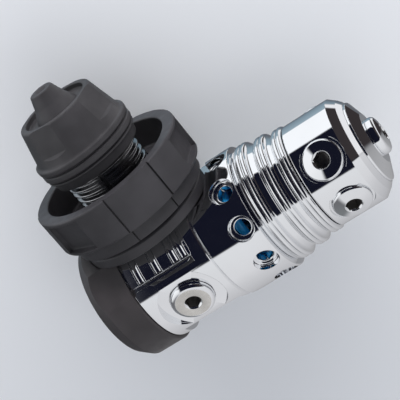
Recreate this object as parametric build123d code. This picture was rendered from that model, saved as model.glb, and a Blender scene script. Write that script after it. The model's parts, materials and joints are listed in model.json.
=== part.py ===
from build123d import *
import os
from math import cos, radians, sin

os.makedirs("parts", exist_ok=True)

# First stage of a diving regulator: a balanced piston in a chromed brass body, with a swivelling
# turret of hose ports at one end and a screw-in cylinder connector on the side.
#
# The pieces are drawn in the body's own frame: X is the piston's axis, towards the turret, Y is the
# cylinder connector's axis, towards the dust cap, and Z is up. The two axes cross at the origin. The
# last step moves everything along Y, so that the finished origin is where the thread's full form ends.
# Every length is in millimetres. A station is a place along a piece's own axis.

# ---------------------------------------------------------------- clearances
RUN = 0.05            # radial, of a shaft in its bore
SEATED = 0.02         # between pieces that are screwed or pressed together
TURN_GAP = 0.2        # axial, between a piece that turns and the one beside it

# ---------------------------------------------------------------- main body, stations along X
BODY_R = 18.9
BODY_BACK = -20.6
BODY_FRONT = 29.1
SEAM_AT = 13.25
SEAM_WIDTH = 0.7
SEAM_DEPTH = 0.4
PLUG_BORE_R = 9.0
PLUG_BORE_END = -11.6
CHAMBER_R = 7.4       # high-pressure chamber
CHAMBER_END = 7.5
SEAL_POCKET_R = 8.0   # for the stem's ring and bush
SEAL_POCKET_START = 9.7
AMBIENT_R = 14.2      # spring chamber, open to the water
AMBIENT_START = 15.0
SPIGOT_R = 15.2       # male thread that carries the piston cap
SPIGOT_LENGTH = 4.6
SPIGOT_BORE_R = 13.7

WATER_HOLES = 10
WATER_HOLE_R = 2.2
WATER_HOLE_RIM_R = 3.6
WATER_HOLE_RIM_DEPTH = 2.2
WATER_HOLE_AT = 24.9

INLET_FLAT = 15.4     # height of the milled flat under the cylinder connector
INLET_FLAT_R = 22.0
INLET_BORE_R = 6.52
INLET_GLAND_R = 8.6
INLET_GLAND_DEPTH = 1.9
BACK_SCOOP = 12.8     # depth of the milled scoop opposite the connector
BACK_SCOOP_FROM = -7.6
BACK_SCOOP_TO = 10.6
BACK_SCOOP_RUNOUT = 6.8   # length of the slope that brings it back to the surface

FIN_FROM = 5.8        # the cooling fins run from this height up to the inlet flat
FIN_END = 9.6
FIN_CORNER_R = 2.6
FIN_STEP = 0.7        # how far the fins' tops lie under the body's surface
FIN_ROOT_R = 15.4
FIN_SLOT = 1.6
FIN_SLOTS = (-7.2, -1.5, 4.3, 7.1)
FIN_LAND_END = 1.0    # what is left of the fins' tops under each slot

# ---------------------------------------------------------------- bumper on the closed end
BUMPER_R = 19.7
BUMPER_FRONT = -11.0
BUMPER_BEVEL_AT = -20.0
BUMPER_BACK = -23.5
BUMPER_BACK_R = 17.2
BUMPER_SEAT_R = 17.2
BUMPER_MOUTH_R = 10.6
BUMPER_FACETS = ((6.0, 39.0), (39.0, 72.0))   # degrees from the connector's axis

# ---------------------------------------------------------------- high-pressure seat
SEAT_R = 5.1
SEAT_THICKNESS = 3.0
SEAT_FACE = -6.6
SEAT_HOLDER_R = 6.6
SEAT_HOLDER_DEPTH = 1.5
SEAT_PLUG_PROUD = 0.6     # beyond the back of the body
SEAT_PLUG_SOCKET = 8.0    # across flats
SEAT_PLUG_SOCKET_DEPTH = 4.5
SEAT_PLUG_RING_AT = -13.6
SEAT_PLUG_GROOVE = 2.0
SEAT_PLUG_GROOVE_R = 7.1

# ---------------------------------------------------------------- piston
TRAVEL = 1.25             # from open, at rest, to closed
STEM_R = 5.0
STEM_BORE_R = 2.6
STEM_EDGE_R = 3.2         # sharp rim that closes on the seat
STEM_TAPER = 2.6
HEAD_R = 13.45
HEAD_THICKNESS = 4.0
HEAD_GROOVE_R = 11.5
HEAD_GROOVE_WIDTH = 2.2
SPRING_MEAN_R = 11.2
SPRING_WIRE_R = 1.6
SPRING_TURNS = 4.5
SPRING_WASHER = 0.8

# ---------------------------------------------------------------- piston cap, stations along X
CAP_BACK_WALL = 3.6       # thickness of the wall that carries the turret
CAP_FRONT = 44.6
CAP_VALLEY_START_R = 17.1
CAP_VALLEY_END_R = 15.2
CAP_END_R = 15.7
CAP_RIDGES = ((32.2, 17.9), (37.9, 17.0), (43.0, 16.2))   # station and radius of each double bead
BEAD_R = 0.75
BEAD_SPACING = 1.35

# ---------------------------------------------------------------- swivel turret, stations along X
TURRET_BACK = CAP_FRONT + TURN_GAP
TURRET_R = 15.6
TURRET_EDGE = 58.8
TURRET_SHOULDER = 61.2
TURRET_SHOULDER_R = 13.7
TURRET_LIP = 62.6
TURRET_LIP_R = 12.7
TURRET_FACE = 64.6
TURRET_FACE_R = 7.6
TURRET_BEAD_R = 0.35
PORT_ROW = 52.5
GALLERY_R = 7.6
GALLERY_WIDTH = 3.2
SWIVEL_R = 5.0            # shank of the hollow bolt that the turret turns on
SWIVEL_BORE_R = 2.8
SWIVEL_HEAD_R = 6.2
SWIVEL_HEAD_BACK = 55.6
SWIVEL_HEAD_LENGTH = 2.8
SWIVEL_RING_AT = 47.2
SWIVEL_GLAND_R = 7.0
END_THREAD_R = 10.8       # of the cap screwed into the turret's end
END_THREAD_BACK = 59.0
END_CAP_R = 12.1
END_CAP_EDGE = 0.2
BOLT_POCKET_R = 7.0

# ---------------------------------------------------------------- port plugs
SOCKET = 4.0              # hexagon across flats
SOCKET_DEPTH = 4.4
LOW_ANGLES = (58, 113, 247, 302)   # hose ports round the turret, from +Y towards +Z
LOW_SEAT = 14.9           # distance of the port's face from the axis
LOW_SPOT_R = 6.3
LOW_THREAD_R = 4.7
LOW_HEAD_R = 5.6
LOW_HEAD_H = 1.9
LOW_SHANK = 6.0
HIGH_LEAN = 15.0          # the side ports lean this far back from straight up and down
HIGH_AT = 1.3             # station along X
HIGH_SEAT = 16.2
HIGH_SPOT_R = 9.6
HIGH_THREAD_R = 5.5
HIGH_HEAD_R = 6.2
HIGH_HEAD_H = 3.0
HIGH_SHANK = 7.0
END_HEAD_R = 5.5
END_HEAD_H = 2.9
END_SHANK = 5.0
END_ROUNDED = 1.2
GLAND_DEPTH = 1.6
GLAND_RING_R = 0.7        # half thickness of a port's sealing ring
ROUNDED = 0.7             # edge of each plug's head

# ---------------------------------------------------------------- cylinder connector, stations along Y
THREAD_R = 11.455         # crest of the 5/8 inch pipe thread
THREAD_END = 47.0
THREAD_CHAMFER = 1.0      # its full form ends this far short of the end
THREAD_START = 27.0       # above a relief
THREAD_RELIEF_R = 10.8
NOSE_END = 51.5
RETAINER_R = 6.5
RETAINER_BOTTOM = 7.9
RETAINER_HEAD_R = 7.95
RETAINER_HEAD_FROM = 40.0
RETAINER_BORE_R = 3.0
FILTER_POCKET_R = 4.7
FILTER_POCKET_FROM = 42.6
FILTER_BASE = 1.5
FILTER_TOP_R = 1.8
FILTER_HEIGHT = 5.6
CLIP_THICKNESS = 0.7
CLIP_R = 5.2
CLIP_BORE_R = 3.4
FACE_RING_MEAN_R = 6.4
FACE_RING_R = 0.85
INSULATOR_R = 19.8
INSULATOR_TOP = 19.2
INSULATOR_BORE_R = 6.6
NUT_BOTTOM = INSULATOR_TOP + TURN_GAP
NUT_HEX = 26.0            # across flats, keyed into the handwheel
NUT_HEX_TOP = 23.4

# ---------------------------------------------------------------- handwheel, stations along Y
WHEEL_R = 23.3
WHEEL_TOP = 35.4
WHEEL_TIER = 23.7
WHEEL_TIER_R = 20.8
WHEEL_FLOOR = 26.6
WHEEL_CAVITY_R = 19.6
WHEEL_LOBES = 3
WHEEL_TURNED = 5.0        # angle of the first grip, from +X towards +Z
GRIP_HALF_ANGLE = 15.5
GRIP_DEPTH = 1.9
GRIP_LIP = 1.3
PAD_HALF_ANGLE = 19.0     # shallow panels half way between the grips
PAD_DEPTH = 0.35
WHEEL_EDGE = 0.8

# ---------------------------------------------------------------- dust cap, stations along Y
DUST_BOTTOM = 38.4
DUST_SKIRT_R = 13.3
DUST_BEADS = (42.1, 45.4)
DUST_BEAD_R = 14.9
DUST_NECK = 46.9
DUST_NECK_R = 13.8
DUST_TOP = 57.1
DUST_TOP_R = 11.4
DUST_DISH_R = 9.6
DUST_DISH_DEPTH = 1.6
DUST_ROOF = 52.7
DUST_CLEAR = 0.9          # radial, of its skirt over the thread's crests
DUST_FIT = 0.1            # radial, of the collar inside it on the connector's nose
NUB_BASE_R = 6.6
NUB_WAIST_R = 4.3
NUB_TOP_R = 3.4
NUB_TOP = 62.8
DUST_PANELS = 4
DUST_TURNED = 10.0
DUST_PANEL_HALF_WIDTH = 4.1
DUST_PANEL_DEPTH = 0.9
DUST_PANEL_FROM = 48.8


# ================================================================ shared shapes
# Each is made about Z and then laid along the axis that it belongs to.
def turned(*outline):
    """Solid of revolution about Z from (radius, station) points."""
    return revolve(make_face(Plane.XZ * Polyline(*outline, close=True)), Axis.Z)


def disc(radius, start, end):
    return Pos(0, 0, start) * Cylinder(radius, end - start, align=(Align.CENTER, Align.CENTER, Align.MIN))


def ring(outer, inner, start, end):
    return disc(outer, start, end) - disc(inner, start, end)


def o_ring(mean_radius, thickness_radius, station):
    return Pos(0, 0, station) * Torus(mean_radius, thickness_radius)


def hexagon(across_flats, start, end):
    prism = extrude(RegularPolygon(across_flats / 2, 6, major_radius=False), end - start)
    return Pos(0, 0, start) * prism


def along_x(solid):
    return Rot(0, 90, 0) * solid


def along_y(solid):
    return Rot(-90, 0, 0) * solid


def radial(station, angle, height=0.0):
    """Place on the X axis, with Z outwards at an angle from +Y towards +Z."""
    return Pos(station, 0, 0) * Rot(angle - 90, 0, 0) * Pos(0, 0, height)


def gland_ring(thread_r):
    """Sealing ring under a plug's head, in the mouth of its port."""
    return o_ring(thread_r - GLAND_RING_R / 2, GLAND_RING_R, -GLAND_DEPTH / 2)


def port_cut(seat, spot_r, thread_r, depth):
    """Spot face, thread and gland of a port whose face is at height 0."""
    clear_of_body = BODY_R + seat
    spot = disc(spot_r, 0, clear_of_body)
    thread = disc(thread_r + SEATED, -depth, 1)
    gland = disc(thread_r + GLAND_RING_R / 2 + SEATED, -GLAND_DEPTH, 1)
    return spot + thread + gland


def plug(head_r, head_h, thread_r, shank, rounded=ROUNDED):
    """Port plug with a hexagon socket. Its head rests on the port's face at height 0."""
    neck_r = thread_r - 1.5 * GLAND_RING_R - SEATED
    body = turned(
        (0, -shank), (thread_r - 0.5, -shank), (thread_r, -shank + 0.5), (thread_r, -GLAND_DEPTH),
        (neck_r, -GLAND_DEPTH), (neck_r, 0), (head_r, 0), (head_r, head_h), (0, head_h),
    )
    body = fillet(body.edges().group_by(Axis.Z)[-1], rounded)
    mouth_r = SOCKET * 0.72
    countersink = turned((0, head_h - mouth_r), (mouth_r, head_h), (mouth_r, head_h + 1), (0, head_h + 1))
    return body - hexagon(SOCKET, head_h - SOCKET_DEPTH, head_h + 1) - countersink


def port_angles_high():
    return (90 + HIGH_LEAN, -90 - HIGH_LEAN)


# ================================================================ main body
def fin_field():
    """Stepped and slotted field of cooling fins on the upper side, as the metal to cut away."""
    width = FIN_END - BUMPER_FRONT
    height = BODY_R - FIN_FROM
    window = Box(width, height, BODY_R + 1, align=(Align.MIN, Align.MIN, Align.MIN))
    window = fillet(window.edges().filter_by(Axis.Z).group_by(Axis.Y)[0].sort_by(Axis.X)[-1], FIN_CORNER_R)
    window = Pos(BUMPER_FRONT, FIN_FROM, 0) * window
    step = along_x(ring(BODY_R + 1, BODY_R - FIN_STEP, BUMPER_FRONT, FIN_END)) & window
    slots = Part()
    for station in FIN_SLOTS:
        groove = ring(BODY_R + 1, FIN_ROOT_R, station - FIN_SLOT / 2, station + FIN_SLOT / 2)
        above = Pos(station, FIN_FROM + FIN_LAND_END, 0) * Box(
            2 * FIN_SLOT, height, BODY_R + 1, align=(Align.CENTER, Align.MIN, Align.MIN))
        slots += along_x(groove) & above
    return step + slots


def back_scoop():
    """Milled scoop between the two side ports, opposite the connector, as the metal to cut away."""
    clear_of_body = -BODY_R - 1
    runout = BACK_SCOOP_TO + BACK_SCOOP_RUNOUT
    side = make_face(Polyline(
        (BACK_SCOOP_FROM, clear_of_body), (BACK_SCOOP_FROM, -BACK_SCOOP), (BACK_SCOOP_TO, -BACK_SCOOP),
        (runout, -BODY_R + SEAM_WIDTH), (runout, clear_of_body), close=True))
    return extrude(side, BODY_R, both=True)


def make_main_body():
    seam_from = SEAM_AT - SEAM_WIDTH / 2
    seam_to = SEAM_AT + SEAM_WIDTH / 2
    spigot_end = BODY_FRONT + SPIGOT_LENGTH
    outer = turned(
        (0, BODY_BACK), (BUMPER_SEAT_R, BODY_BACK), (BUMPER_SEAT_R, BUMPER_FRONT), (BODY_R, BUMPER_FRONT),
        (BODY_R, seam_from), (BODY_R - SEAM_DEPTH, SEAM_AT), (BODY_R, seam_to), (BODY_R, BODY_FRONT),
        (SPIGOT_R, BODY_FRONT), (SPIGOT_R, spigot_end), (0, spigot_end),
    )
    bores = (
        disc(PLUG_BORE_R, BODY_BACK - 1, PLUG_BORE_END)
        + disc(CHAMBER_R, PLUG_BORE_END - 1, CHAMBER_END)
        + disc(STEM_R + RUN, CHAMBER_END - 1, SEAL_POCKET_START + 1)
        + disc(SEAL_POCKET_R, SEAL_POCKET_START, AMBIENT_START + 1)
        + disc(AMBIENT_R, AMBIENT_START, BODY_FRONT)
        + disc(SPIGOT_BORE_R, BODY_FRONT - 1, spigot_end + 1)
    )
    body = along_x(outer - bores)
    body -= along_y(disc(INLET_FLAT_R, INLET_FLAT, BODY_R + 1))
    body -= back_scoop()
    body -= along_y(disc(INLET_BORE_R, 0, BODY_R))
    body -= along_y(disc(INLET_GLAND_R, INLET_FLAT - INLET_GLAND_DEPTH, BODY_R))
    fins = fin_field()
    body -= fins
    body -= mirror(fins, Plane.XY)
    for angle in port_angles_high():
        cut = port_cut(HIGH_SEAT, HIGH_SPOT_R, HIGH_THREAD_R, HIGH_SEAT - CHAMBER_R / 2)
        body -= radial(HIGH_AT, angle, HIGH_SEAT) * cut
    hole = disc(WATER_HOLE_R, AMBIENT_R - 2, BODY_R + 1) + disc(
        WATER_HOLE_RIM_R, BODY_R - WATER_HOLE_RIM_DEPTH, BODY_R + 1)
    for count in range(WATER_HOLES):
        body -= radial(WATER_HOLE_AT, count * 360 / WATER_HOLES) * hole
    return body


# ================================================================ closed end
def make_end_bumper():
    cup = turned(
        (BUMPER_SEAT_R + SEATED, BUMPER_FRONT), (BUMPER_R, BUMPER_FRONT), (BUMPER_R, BUMPER_BEVEL_AT),
        (BUMPER_BACK_R, BUMPER_BACK), (BUMPER_MOUTH_R, BUMPER_BACK), (BUMPER_MOUTH_R, BODY_BACK - SEATED),
        (BUMPER_SEAT_R + SEATED, BODY_BACK - SEATED),
    )
    bumper = along_x(cup)
    for facet_from, facet_to in BUMPER_FACETS:
        middle = (facet_from + facet_to) / 2
        chord = BUMPER_R * cos(radians(facet_to - middle))
        slab = Pos(0, 0, chord) * Box(
            4 * BUMPER_R, 4 * BUMPER_R, BUMPER_R, align=(Align.CENTER, Align.CENTER, Align.MIN))
        bumper -= radial(0, middle) * slab
        bumper -= radial(0, -middle) * slab
    bumper -= along_y(disc(INSULATOR_R + TURN_GAP, INLET_FLAT, BUMPER_R + 1))
    return bumper - along_y(disc(WHEEL_R, INSULATOR_TOP, BUMPER_R + 1))


def make_seat_plug():
    back = BODY_BACK - SEAT_PLUG_PROUD
    thread_r = PLUG_BORE_R - SEATED
    groove = ring(
        PLUG_BORE_R + 1, SEAT_PLUG_GROOVE_R, SEAT_PLUG_RING_AT - SEAT_PLUG_GROOVE / 2,
        SEAT_PLUG_RING_AT + SEAT_PLUG_GROOVE / 2)
    seat_back = SEAT_FACE - SEAT_THICKNESS
    body = turned(
        (0, back), (thread_r - 0.5, back), (thread_r, back + 0.5), (thread_r, PLUG_BORE_END - SEATED),
        (SEAT_HOLDER_R, PLUG_BORE_END - SEATED), (SEAT_HOLDER_R, seat_back + SEAT_HOLDER_DEPTH),
        (0, seat_back + SEAT_HOLDER_DEPTH),
    )
    pocket = disc(SEAT_R + SEATED, seat_back - SEATED, SEAT_FACE)
    socket = hexagon(SEAT_PLUG_SOCKET, back - 1, back + SEAT_PLUG_SOCKET_DEPTH)
    return along_x(body - groove - pocket - socket)


def make_valve_seat():
    back = SEAT_FACE - SEAT_THICKNESS
    return along_x(turned(
        (0, back), (SEAT_R, back), (SEAT_R, SEAT_FACE - 0.4), (SEAT_R - 0.4, SEAT_FACE), (0, SEAT_FACE)))


def make_seat_plug_o_ring():
    thickness_r = (PLUG_BORE_R - SEAT_PLUG_GROOVE_R) / 2 - RUN
    return along_x(o_ring((PLUG_BORE_R + SEAT_PLUG_GROOVE_R) / 2, thickness_r, SEAT_PLUG_RING_AT))


# ================================================================ piston and spring
def piston_front():
    return CAP_FRONT - CAP_BACK_WALL - RUN


def spring_span():
    """Stations between which the spring is held."""
    return AMBIENT_START + SPRING_WASHER + SEATED, piston_front() - HEAD_THICKNESS - SEATED


def make_piston():
    front = piston_front()
    back = front - HEAD_THICKNESS
    tip = SEAT_FACE + TRAVEL + RUN
    body = turned(
        (STEM_BORE_R, tip + 0.8), (STEM_EDGE_R, tip), (STEM_R, tip + STEM_TAPER), (STEM_R, back),
        (HEAD_R, back), (HEAD_R, front), (STEM_BORE_R, front),
    )
    groove_at = (front + back) / 2
    groove = ring(HEAD_R + 1, HEAD_GROOVE_R, groove_at - HEAD_GROOVE_WIDTH / 2, groove_at + HEAD_GROOVE_WIDTH / 2)
    return along_x(body - groove)


def make_piston_head_o_ring():
    thickness_r = (HEAD_R - HEAD_GROOVE_R) / 2
    return along_x(o_ring(HEAD_GROOVE_R + thickness_r + SEATED, thickness_r, piston_front() - HEAD_THICKNESS / 2))


def make_stem_o_ring():
    thickness_r = (SEAL_POCKET_R - STEM_R) / 2 - RUN
    return along_x(o_ring((SEAL_POCKET_R + STEM_R) / 2, thickness_r, SEAL_POCKET_START + thickness_r + SEATED))


def make_stem_bush():
    start = SEAL_POCKET_START + SEAL_POCKET_R - STEM_R
    return along_x(ring(SEAL_POCKET_R - SEATED, STEM_R + RUN, start, AMBIENT_START))


def make_spring_washer():
    start = AMBIENT_START + SEATED / 2
    return along_x(ring(AMBIENT_R - RUN, STEM_R + 2, start, start + SPRING_WASHER - SEATED / 2))


def make_main_spring():
    start, end = spring_span()
    pitch = (end - start) / SPRING_TURNS
    path = Helix(pitch=pitch, height=end - start, radius=SPRING_MEAN_R)
    wire = Plane(origin=path @ 0, z_dir=path % 0) * Circle(SPRING_WIRE_R)
    coil = Pos(0, 0, start) * sweep(wire, path, is_frenet=True)
    ground = disc(SPRING_MEAN_R + 2 * SPRING_WIRE_R, start, end)
    return along_x(coil & ground)


# ================================================================ piston cap
def make_body_cap():
    start = BODY_FRONT
    first = CAP_RIDGES[0][0]
    last = CAP_RIDGES[-1][0]
    shell = turned(
        (0, start), (CAP_VALLEY_START_R, start), (CAP_VALLEY_START_R, first), (CAP_VALLEY_END_R, last),
        (CAP_END_R, last + BEAD_SPACING), (CAP_END_R, CAP_FRONT), (0, CAP_FRONT),
    )
    for station, radius in CAP_RIDGES:
        for side in (-1, 1):
            bead_at = station + side * BEAD_SPACING / 2
            shell += o_ring(radius - BEAD_R, BEAD_R, bead_at)
            shell += disc(radius - BEAD_R, bead_at - BEAD_R, bead_at + BEAD_R)
        shell += disc(radius - BEAD_R, station - BEAD_SPACING / 2, station + BEAD_SPACING / 2)
    socket = disc(SPIGOT_R + SEATED, start - 1, start + SPIGOT_LENGTH + SEATED)
    cylinder = disc(HEAD_R + RUN, start, CAP_FRONT - CAP_BACK_WALL)
    bolt_hole = disc(SWIVEL_R + SEATED, start, CAP_FRONT + 1)
    return along_x(shell - socket - cylinder - bolt_hole)


# ================================================================ swivel turret
def make_swivel_turret():
    outer = turned(
        (0, TURRET_BACK), (TURRET_R - 0.4, TURRET_BACK), (TURRET_R, TURRET_BACK + 0.4), (TURRET_R, TURRET_EDGE),
        (TURRET_SHOULDER_R, TURRET_SHOULDER), (TURRET_LIP_R, TURRET_LIP), (0, TURRET_LIP),
    )
    outer += o_ring(TURRET_LIP_R - TURRET_BEAD_R / 2, TURRET_BEAD_R, TURRET_LIP)
    bores = (
        disc(SWIVEL_R + RUN, TURRET_BACK - 1, SWIVEL_HEAD_BACK)
        + ring(SWIVEL_GLAND_R, SWIVEL_R, SWIVEL_RING_AT - 1.1, SWIVEL_RING_AT + 1.1)
        + disc(GALLERY_R, PORT_ROW - GALLERY_WIDTH / 2, PORT_ROW + GALLERY_WIDTH / 2)
        + disc(BOLT_POCKET_R, SWIVEL_HEAD_BACK - SEATED, END_THREAD_BACK + 1)
        + disc(END_THREAD_R + SEATED, END_THREAD_BACK, TURRET_LIP + 1)
    )
    turret = along_x(outer - bores)
    for angle in LOW_ANGLES:
        turret -= radial(PORT_ROW, angle, LOW_SEAT) * port_cut(LOW_SEAT, LOW_SPOT_R, LOW_THREAD_R, LOW_SHANK + 0.6)
        turret -= radial(PORT_ROW, angle) * disc(GALLERY_WIDTH / 2, SWIVEL_R + 1, LOW_SEAT)
    return turret


def make_turret_end_cap():
    """Cap screwed into the turret's end, over the swivel bolt's head, with a hose port of its own."""
    back = END_THREAD_BACK + TURN_GAP
    seat = TURRET_LIP + SEATED
    cap = turned(
        (0, back), (END_THREAD_R, back), (END_THREAD_R, seat), (END_CAP_R, seat), (END_CAP_R, seat + END_CAP_EDGE),
        (TURRET_FACE_R, TURRET_FACE), (0, TURRET_FACE),
    )
    port = port_cut(TURRET_FACE, END_HEAD_R, LOW_THREAD_R, TURRET_FACE - back + 1)
    return along_x(cap - Pos(0, 0, TURRET_FACE) * port)


def make_swivel_o_ring():
    thickness_r = (SWIVEL_GLAND_R - SWIVEL_R) / 2 - RUN
    return along_x(o_ring((SWIVEL_GLAND_R + SWIVEL_R) / 2, thickness_r, SWIVEL_RING_AT))


def make_swivel_bolt():
    end = SWIVEL_HEAD_BACK + SWIVEL_HEAD_LENGTH
    start = CAP_FRONT - CAP_BACK_WALL + RUN
    body = turned(
        (SWIVEL_BORE_R, start), (SWIVEL_R, start), (SWIVEL_R, SWIVEL_HEAD_BACK + RUN),
        (SWIVEL_HEAD_R, SWIVEL_HEAD_BACK + RUN), (SWIVEL_HEAD_R, end), (SWIVEL_BORE_R, end),
    )
    body -= hexagon(6.0, SWIVEL_HEAD_BACK + RUN, end + 1)
    for angle in (0, 90):
        body -= Pos(0, 0, PORT_ROW) * Rot(0, 90, angle) * disc(GALLERY_WIDTH / 3, -SWIVEL_R - 1, SWIVEL_R + 1)
    return along_x(body)


def make_end_plug():
    end = Pos(0, 0, TURRET_FACE) * plug(END_HEAD_R, END_HEAD_H, LOW_THREAD_R, END_SHANK, END_ROUNDED)
    return along_x(end)


def make_end_plug_o_ring():
    return along_x(Pos(0, 0, TURRET_FACE) * gland_ring(LOW_THREAD_R))


def make_turret_plug(angle):
    return radial(PORT_ROW, angle, LOW_SEAT) * plug(LOW_HEAD_R, LOW_HEAD_H, LOW_THREAD_R, LOW_SHANK)


def make_turret_plug_o_rings():
    return Compound(children=[radial(PORT_ROW, angle, LOW_SEAT) * gland_ring(LOW_THREAD_R) for angle in LOW_ANGLES])


def make_side_plug(angle):
    return radial(HIGH_AT, angle, HIGH_SEAT) * plug(HIGH_HEAD_R, HIGH_HEAD_H, HIGH_THREAD_R, HIGH_SHANK)


def make_side_plug_o_rings():
    return Compound(children=[
        radial(HIGH_AT, angle, HIGH_SEAT) * gland_ring(HIGH_THREAD_R) for angle in port_angles_high()])


# ================================================================ cylinder connector
def make_insulating_ring():
    return along_y(ring(INSULATOR_R, INSULATOR_BORE_R, INLET_FLAT + SEATED, INSULATOR_TOP))


def make_inlet_o_ring():
    thickness_r = (INLET_GLAND_R - RETAINER_R) / 2 - RUN
    depth = INLET_FLAT - INLET_GLAND_DEPTH / 2
    return along_y(o_ring((INLET_GLAND_R + RETAINER_R) / 2, min(thickness_r, INLET_GLAND_DEPTH / 2 - SEATED), depth))


def make_din_retainer():
    head_from = RETAINER_HEAD_FROM + RUN
    body = turned(
        (RETAINER_BORE_R, RETAINER_BOTTOM), (RETAINER_R - 0.6, RETAINER_BOTTOM),
        (RETAINER_R, RETAINER_BOTTOM + 0.6), (RETAINER_R, head_from), (RETAINER_HEAD_R, head_from),
        (RETAINER_HEAD_R, NOSE_END - 0.3), (RETAINER_HEAD_R - 0.3, NOSE_END), (FILTER_POCKET_R, NOSE_END),
        (FILTER_POCKET_R, FILTER_POCKET_FROM), (RETAINER_BORE_R, FILTER_POCKET_FROM),
    )
    face_groove = ring(
        FACE_RING_MEAN_R + FACE_RING_R + SEATED, FACE_RING_MEAN_R - FACE_RING_R - SEATED,
        NOSE_END - 1.6 * FACE_RING_R, NOSE_END + 1)
    clip_from = FILTER_POCKET_FROM + FILTER_BASE + SEATED
    clip_groove = disc(CLIP_R + SEATED, clip_from, clip_from + CLIP_THICKNESS + SEATED)
    return along_y(body - face_groove - clip_groove)


def make_din_face_o_ring():
    return along_y(o_ring(FACE_RING_MEAN_R, FACE_RING_R, NOSE_END - 0.6 * FACE_RING_R + SEATED))


def make_inlet_filter():
    start = FILTER_POCKET_FROM + SEATED / 2
    base_r = FILTER_POCKET_R - SEATED
    cone_r = CLIP_BORE_R - 0.1
    base_top = FILTER_POCKET_FROM + FILTER_BASE
    return along_y(turned(
        (0, start), (base_r, start), (base_r, base_top), (cone_r, base_top),
        (FILTER_TOP_R, start + FILTER_HEIGHT), (0, start + FILTER_HEIGHT)))


def make_filter_clip():
    start = FILTER_POCKET_FROM + FILTER_BASE + 1.5 * SEATED
    clip = ring(CLIP_R, CLIP_BORE_R, start, start + CLIP_THICKNESS)
    return along_y(clip - Pos(CLIP_R, 0, start) * Box(CLIP_R, 2, 3))


def make_coupling_nut():
    body = turned(
        (RETAINER_R + RUN, NUT_BOTTOM), (THREAD_RELIEF_R, NUT_BOTTOM), (THREAD_RELIEF_R, THREAD_START),
        (THREAD_R, THREAD_START), (THREAD_R, THREAD_END - THREAD_CHAMFER),
        (THREAD_R - THREAD_CHAMFER, THREAD_END), (RETAINER_HEAD_R + RUN, THREAD_END),
        (RETAINER_HEAD_R + RUN, RETAINER_HEAD_FROM), (RETAINER_R + RUN, RETAINER_HEAD_FROM),
    )
    key = hexagon(NUT_HEX, NUT_BOTTOM, NUT_HEX_TOP) - disc(THREAD_RELIEF_R - 1, NUT_BOTTOM, NUT_HEX_TOP)
    return along_y(body + key)


def make_handwheel():
    wheel = turned(
        (THREAD_R + SEATED, NUT_BOTTOM), (WHEEL_TIER_R, NUT_BOTTOM), (WHEEL_TIER_R, WHEEL_TIER),
        (WHEEL_R, WHEEL_TIER), (WHEEL_R, WHEEL_TOP - WHEEL_EDGE), (WHEEL_R - WHEEL_EDGE, WHEEL_TOP),
        (WHEEL_CAVITY_R + WHEEL_EDGE / 2, WHEEL_TOP), (WHEEL_CAVITY_R, WHEEL_TOP - WHEEL_EDGE / 2),
        (WHEEL_CAVITY_R, WHEEL_FLOOR), (THREAD_R + SEATED, WHEEL_FLOOR),
    )
    wheel -= hexagon(NUT_HEX + 2 * SEATED, NUT_BOTTOM - 1, NUT_HEX_TOP + SEATED)
    tall = WHEEL_TOP - WHEEL_TIER
    grip_width = 2 * WHEEL_R * sin(radians(GRIP_HALF_ANGLE))
    grip = Box(WHEEL_R, grip_width, tall - 2 * GRIP_LIP, align=(Align.MIN, Align.CENTER, Align.CENTER))
    grip = chamfer(grip.edges().group_by(Axis.X)[0], 0.99 * GRIP_DEPTH)
    grip = Pos(WHEEL_R - GRIP_DEPTH, 0, (WHEEL_TOP + WHEEL_TIER) / 2) * grip
    for count in range(WHEEL_LOBES):
        grip_angle = -(WHEEL_TURNED + count * 360 / WHEEL_LOBES)
        wheel -= Rot(0, 0, grip_angle) * grip
        wheel -= Rot(0, 0, grip_angle - 180 / WHEEL_LOBES) * pad_panel(tall)
    return along_y(wheel)


def pad_panel(tall):
    """Shallow panel between two grips, as the metal to cut away."""
    band = ring(WHEEL_R + 1, WHEEL_R - PAD_DEPTH, WHEEL_TIER - 1, WHEEL_TIER + tall + 1)
    reach = 2 * WHEEL_R
    half = radians(PAD_HALF_ANGLE)
    wedge = make_face(Polyline(
        (0, 0), (reach * cos(half), -reach * sin(half)), (reach * cos(half), reach * sin(half)), close=True))
    return band & Pos(0, 0, WHEEL_TIER - 1) * extrude(wedge, tall + 2)


def make_dust_cap():
    bead_r = DUST_BEAD_R - DUST_NECK_R
    dish_floor = DUST_TOP - DUST_DISH_DEPTH
    shell = turned(
        (0, DUST_BOTTOM), (DUST_SKIRT_R, DUST_BOTTOM), (DUST_NECK_R, DUST_BEADS[0] - bead_r),
        (DUST_NECK_R, DUST_NECK), (DUST_TOP_R, DUST_TOP), (DUST_DISH_R, DUST_TOP), (DUST_DISH_R, dish_floor),
        (NUB_BASE_R, dish_floor), (NUB_WAIST_R, (dish_floor + NUB_TOP) / 2), (NUB_TOP_R, NUB_TOP), (0, NUB_TOP),
    )
    for station in DUST_BEADS:
        shell += o_ring(DUST_NECK_R, bead_r, station)
    panel_height = DUST_TOP - DUST_PANEL_FROM
    lean = (DUST_NECK_R - DUST_TOP_R) / (DUST_TOP - DUST_NECK)
    for count in range(DUST_PANELS):
        outside = make_face(Polyline(
            (DUST_NECK_R - DUST_PANEL_DEPTH - lean * (DUST_PANEL_FROM - DUST_NECK), DUST_PANEL_FROM),
            (DUST_TOP_R - DUST_PANEL_DEPTH - lean, DUST_TOP + 1), (DUST_NECK_R + 2, DUST_TOP + 1),
            (DUST_NECK_R + 2, DUST_PANEL_FROM), close=True))
        panel = extrude(Plane.XZ * outside, DUST_PANEL_HALF_WIDTH, both=True)
        shell -= Rot(0, 0, -(DUST_TURNED + count * 360 / DUST_PANELS)) * panel
    shell -= disc(THREAD_R + DUST_CLEAR, DUST_BOTTOM - 1, THREAD_END + TURN_GAP)
    shell -= disc(RETAINER_HEAD_R + DUST_FIT, DUST_BOTTOM, DUST_ROOF)
    return along_y(shell)


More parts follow.
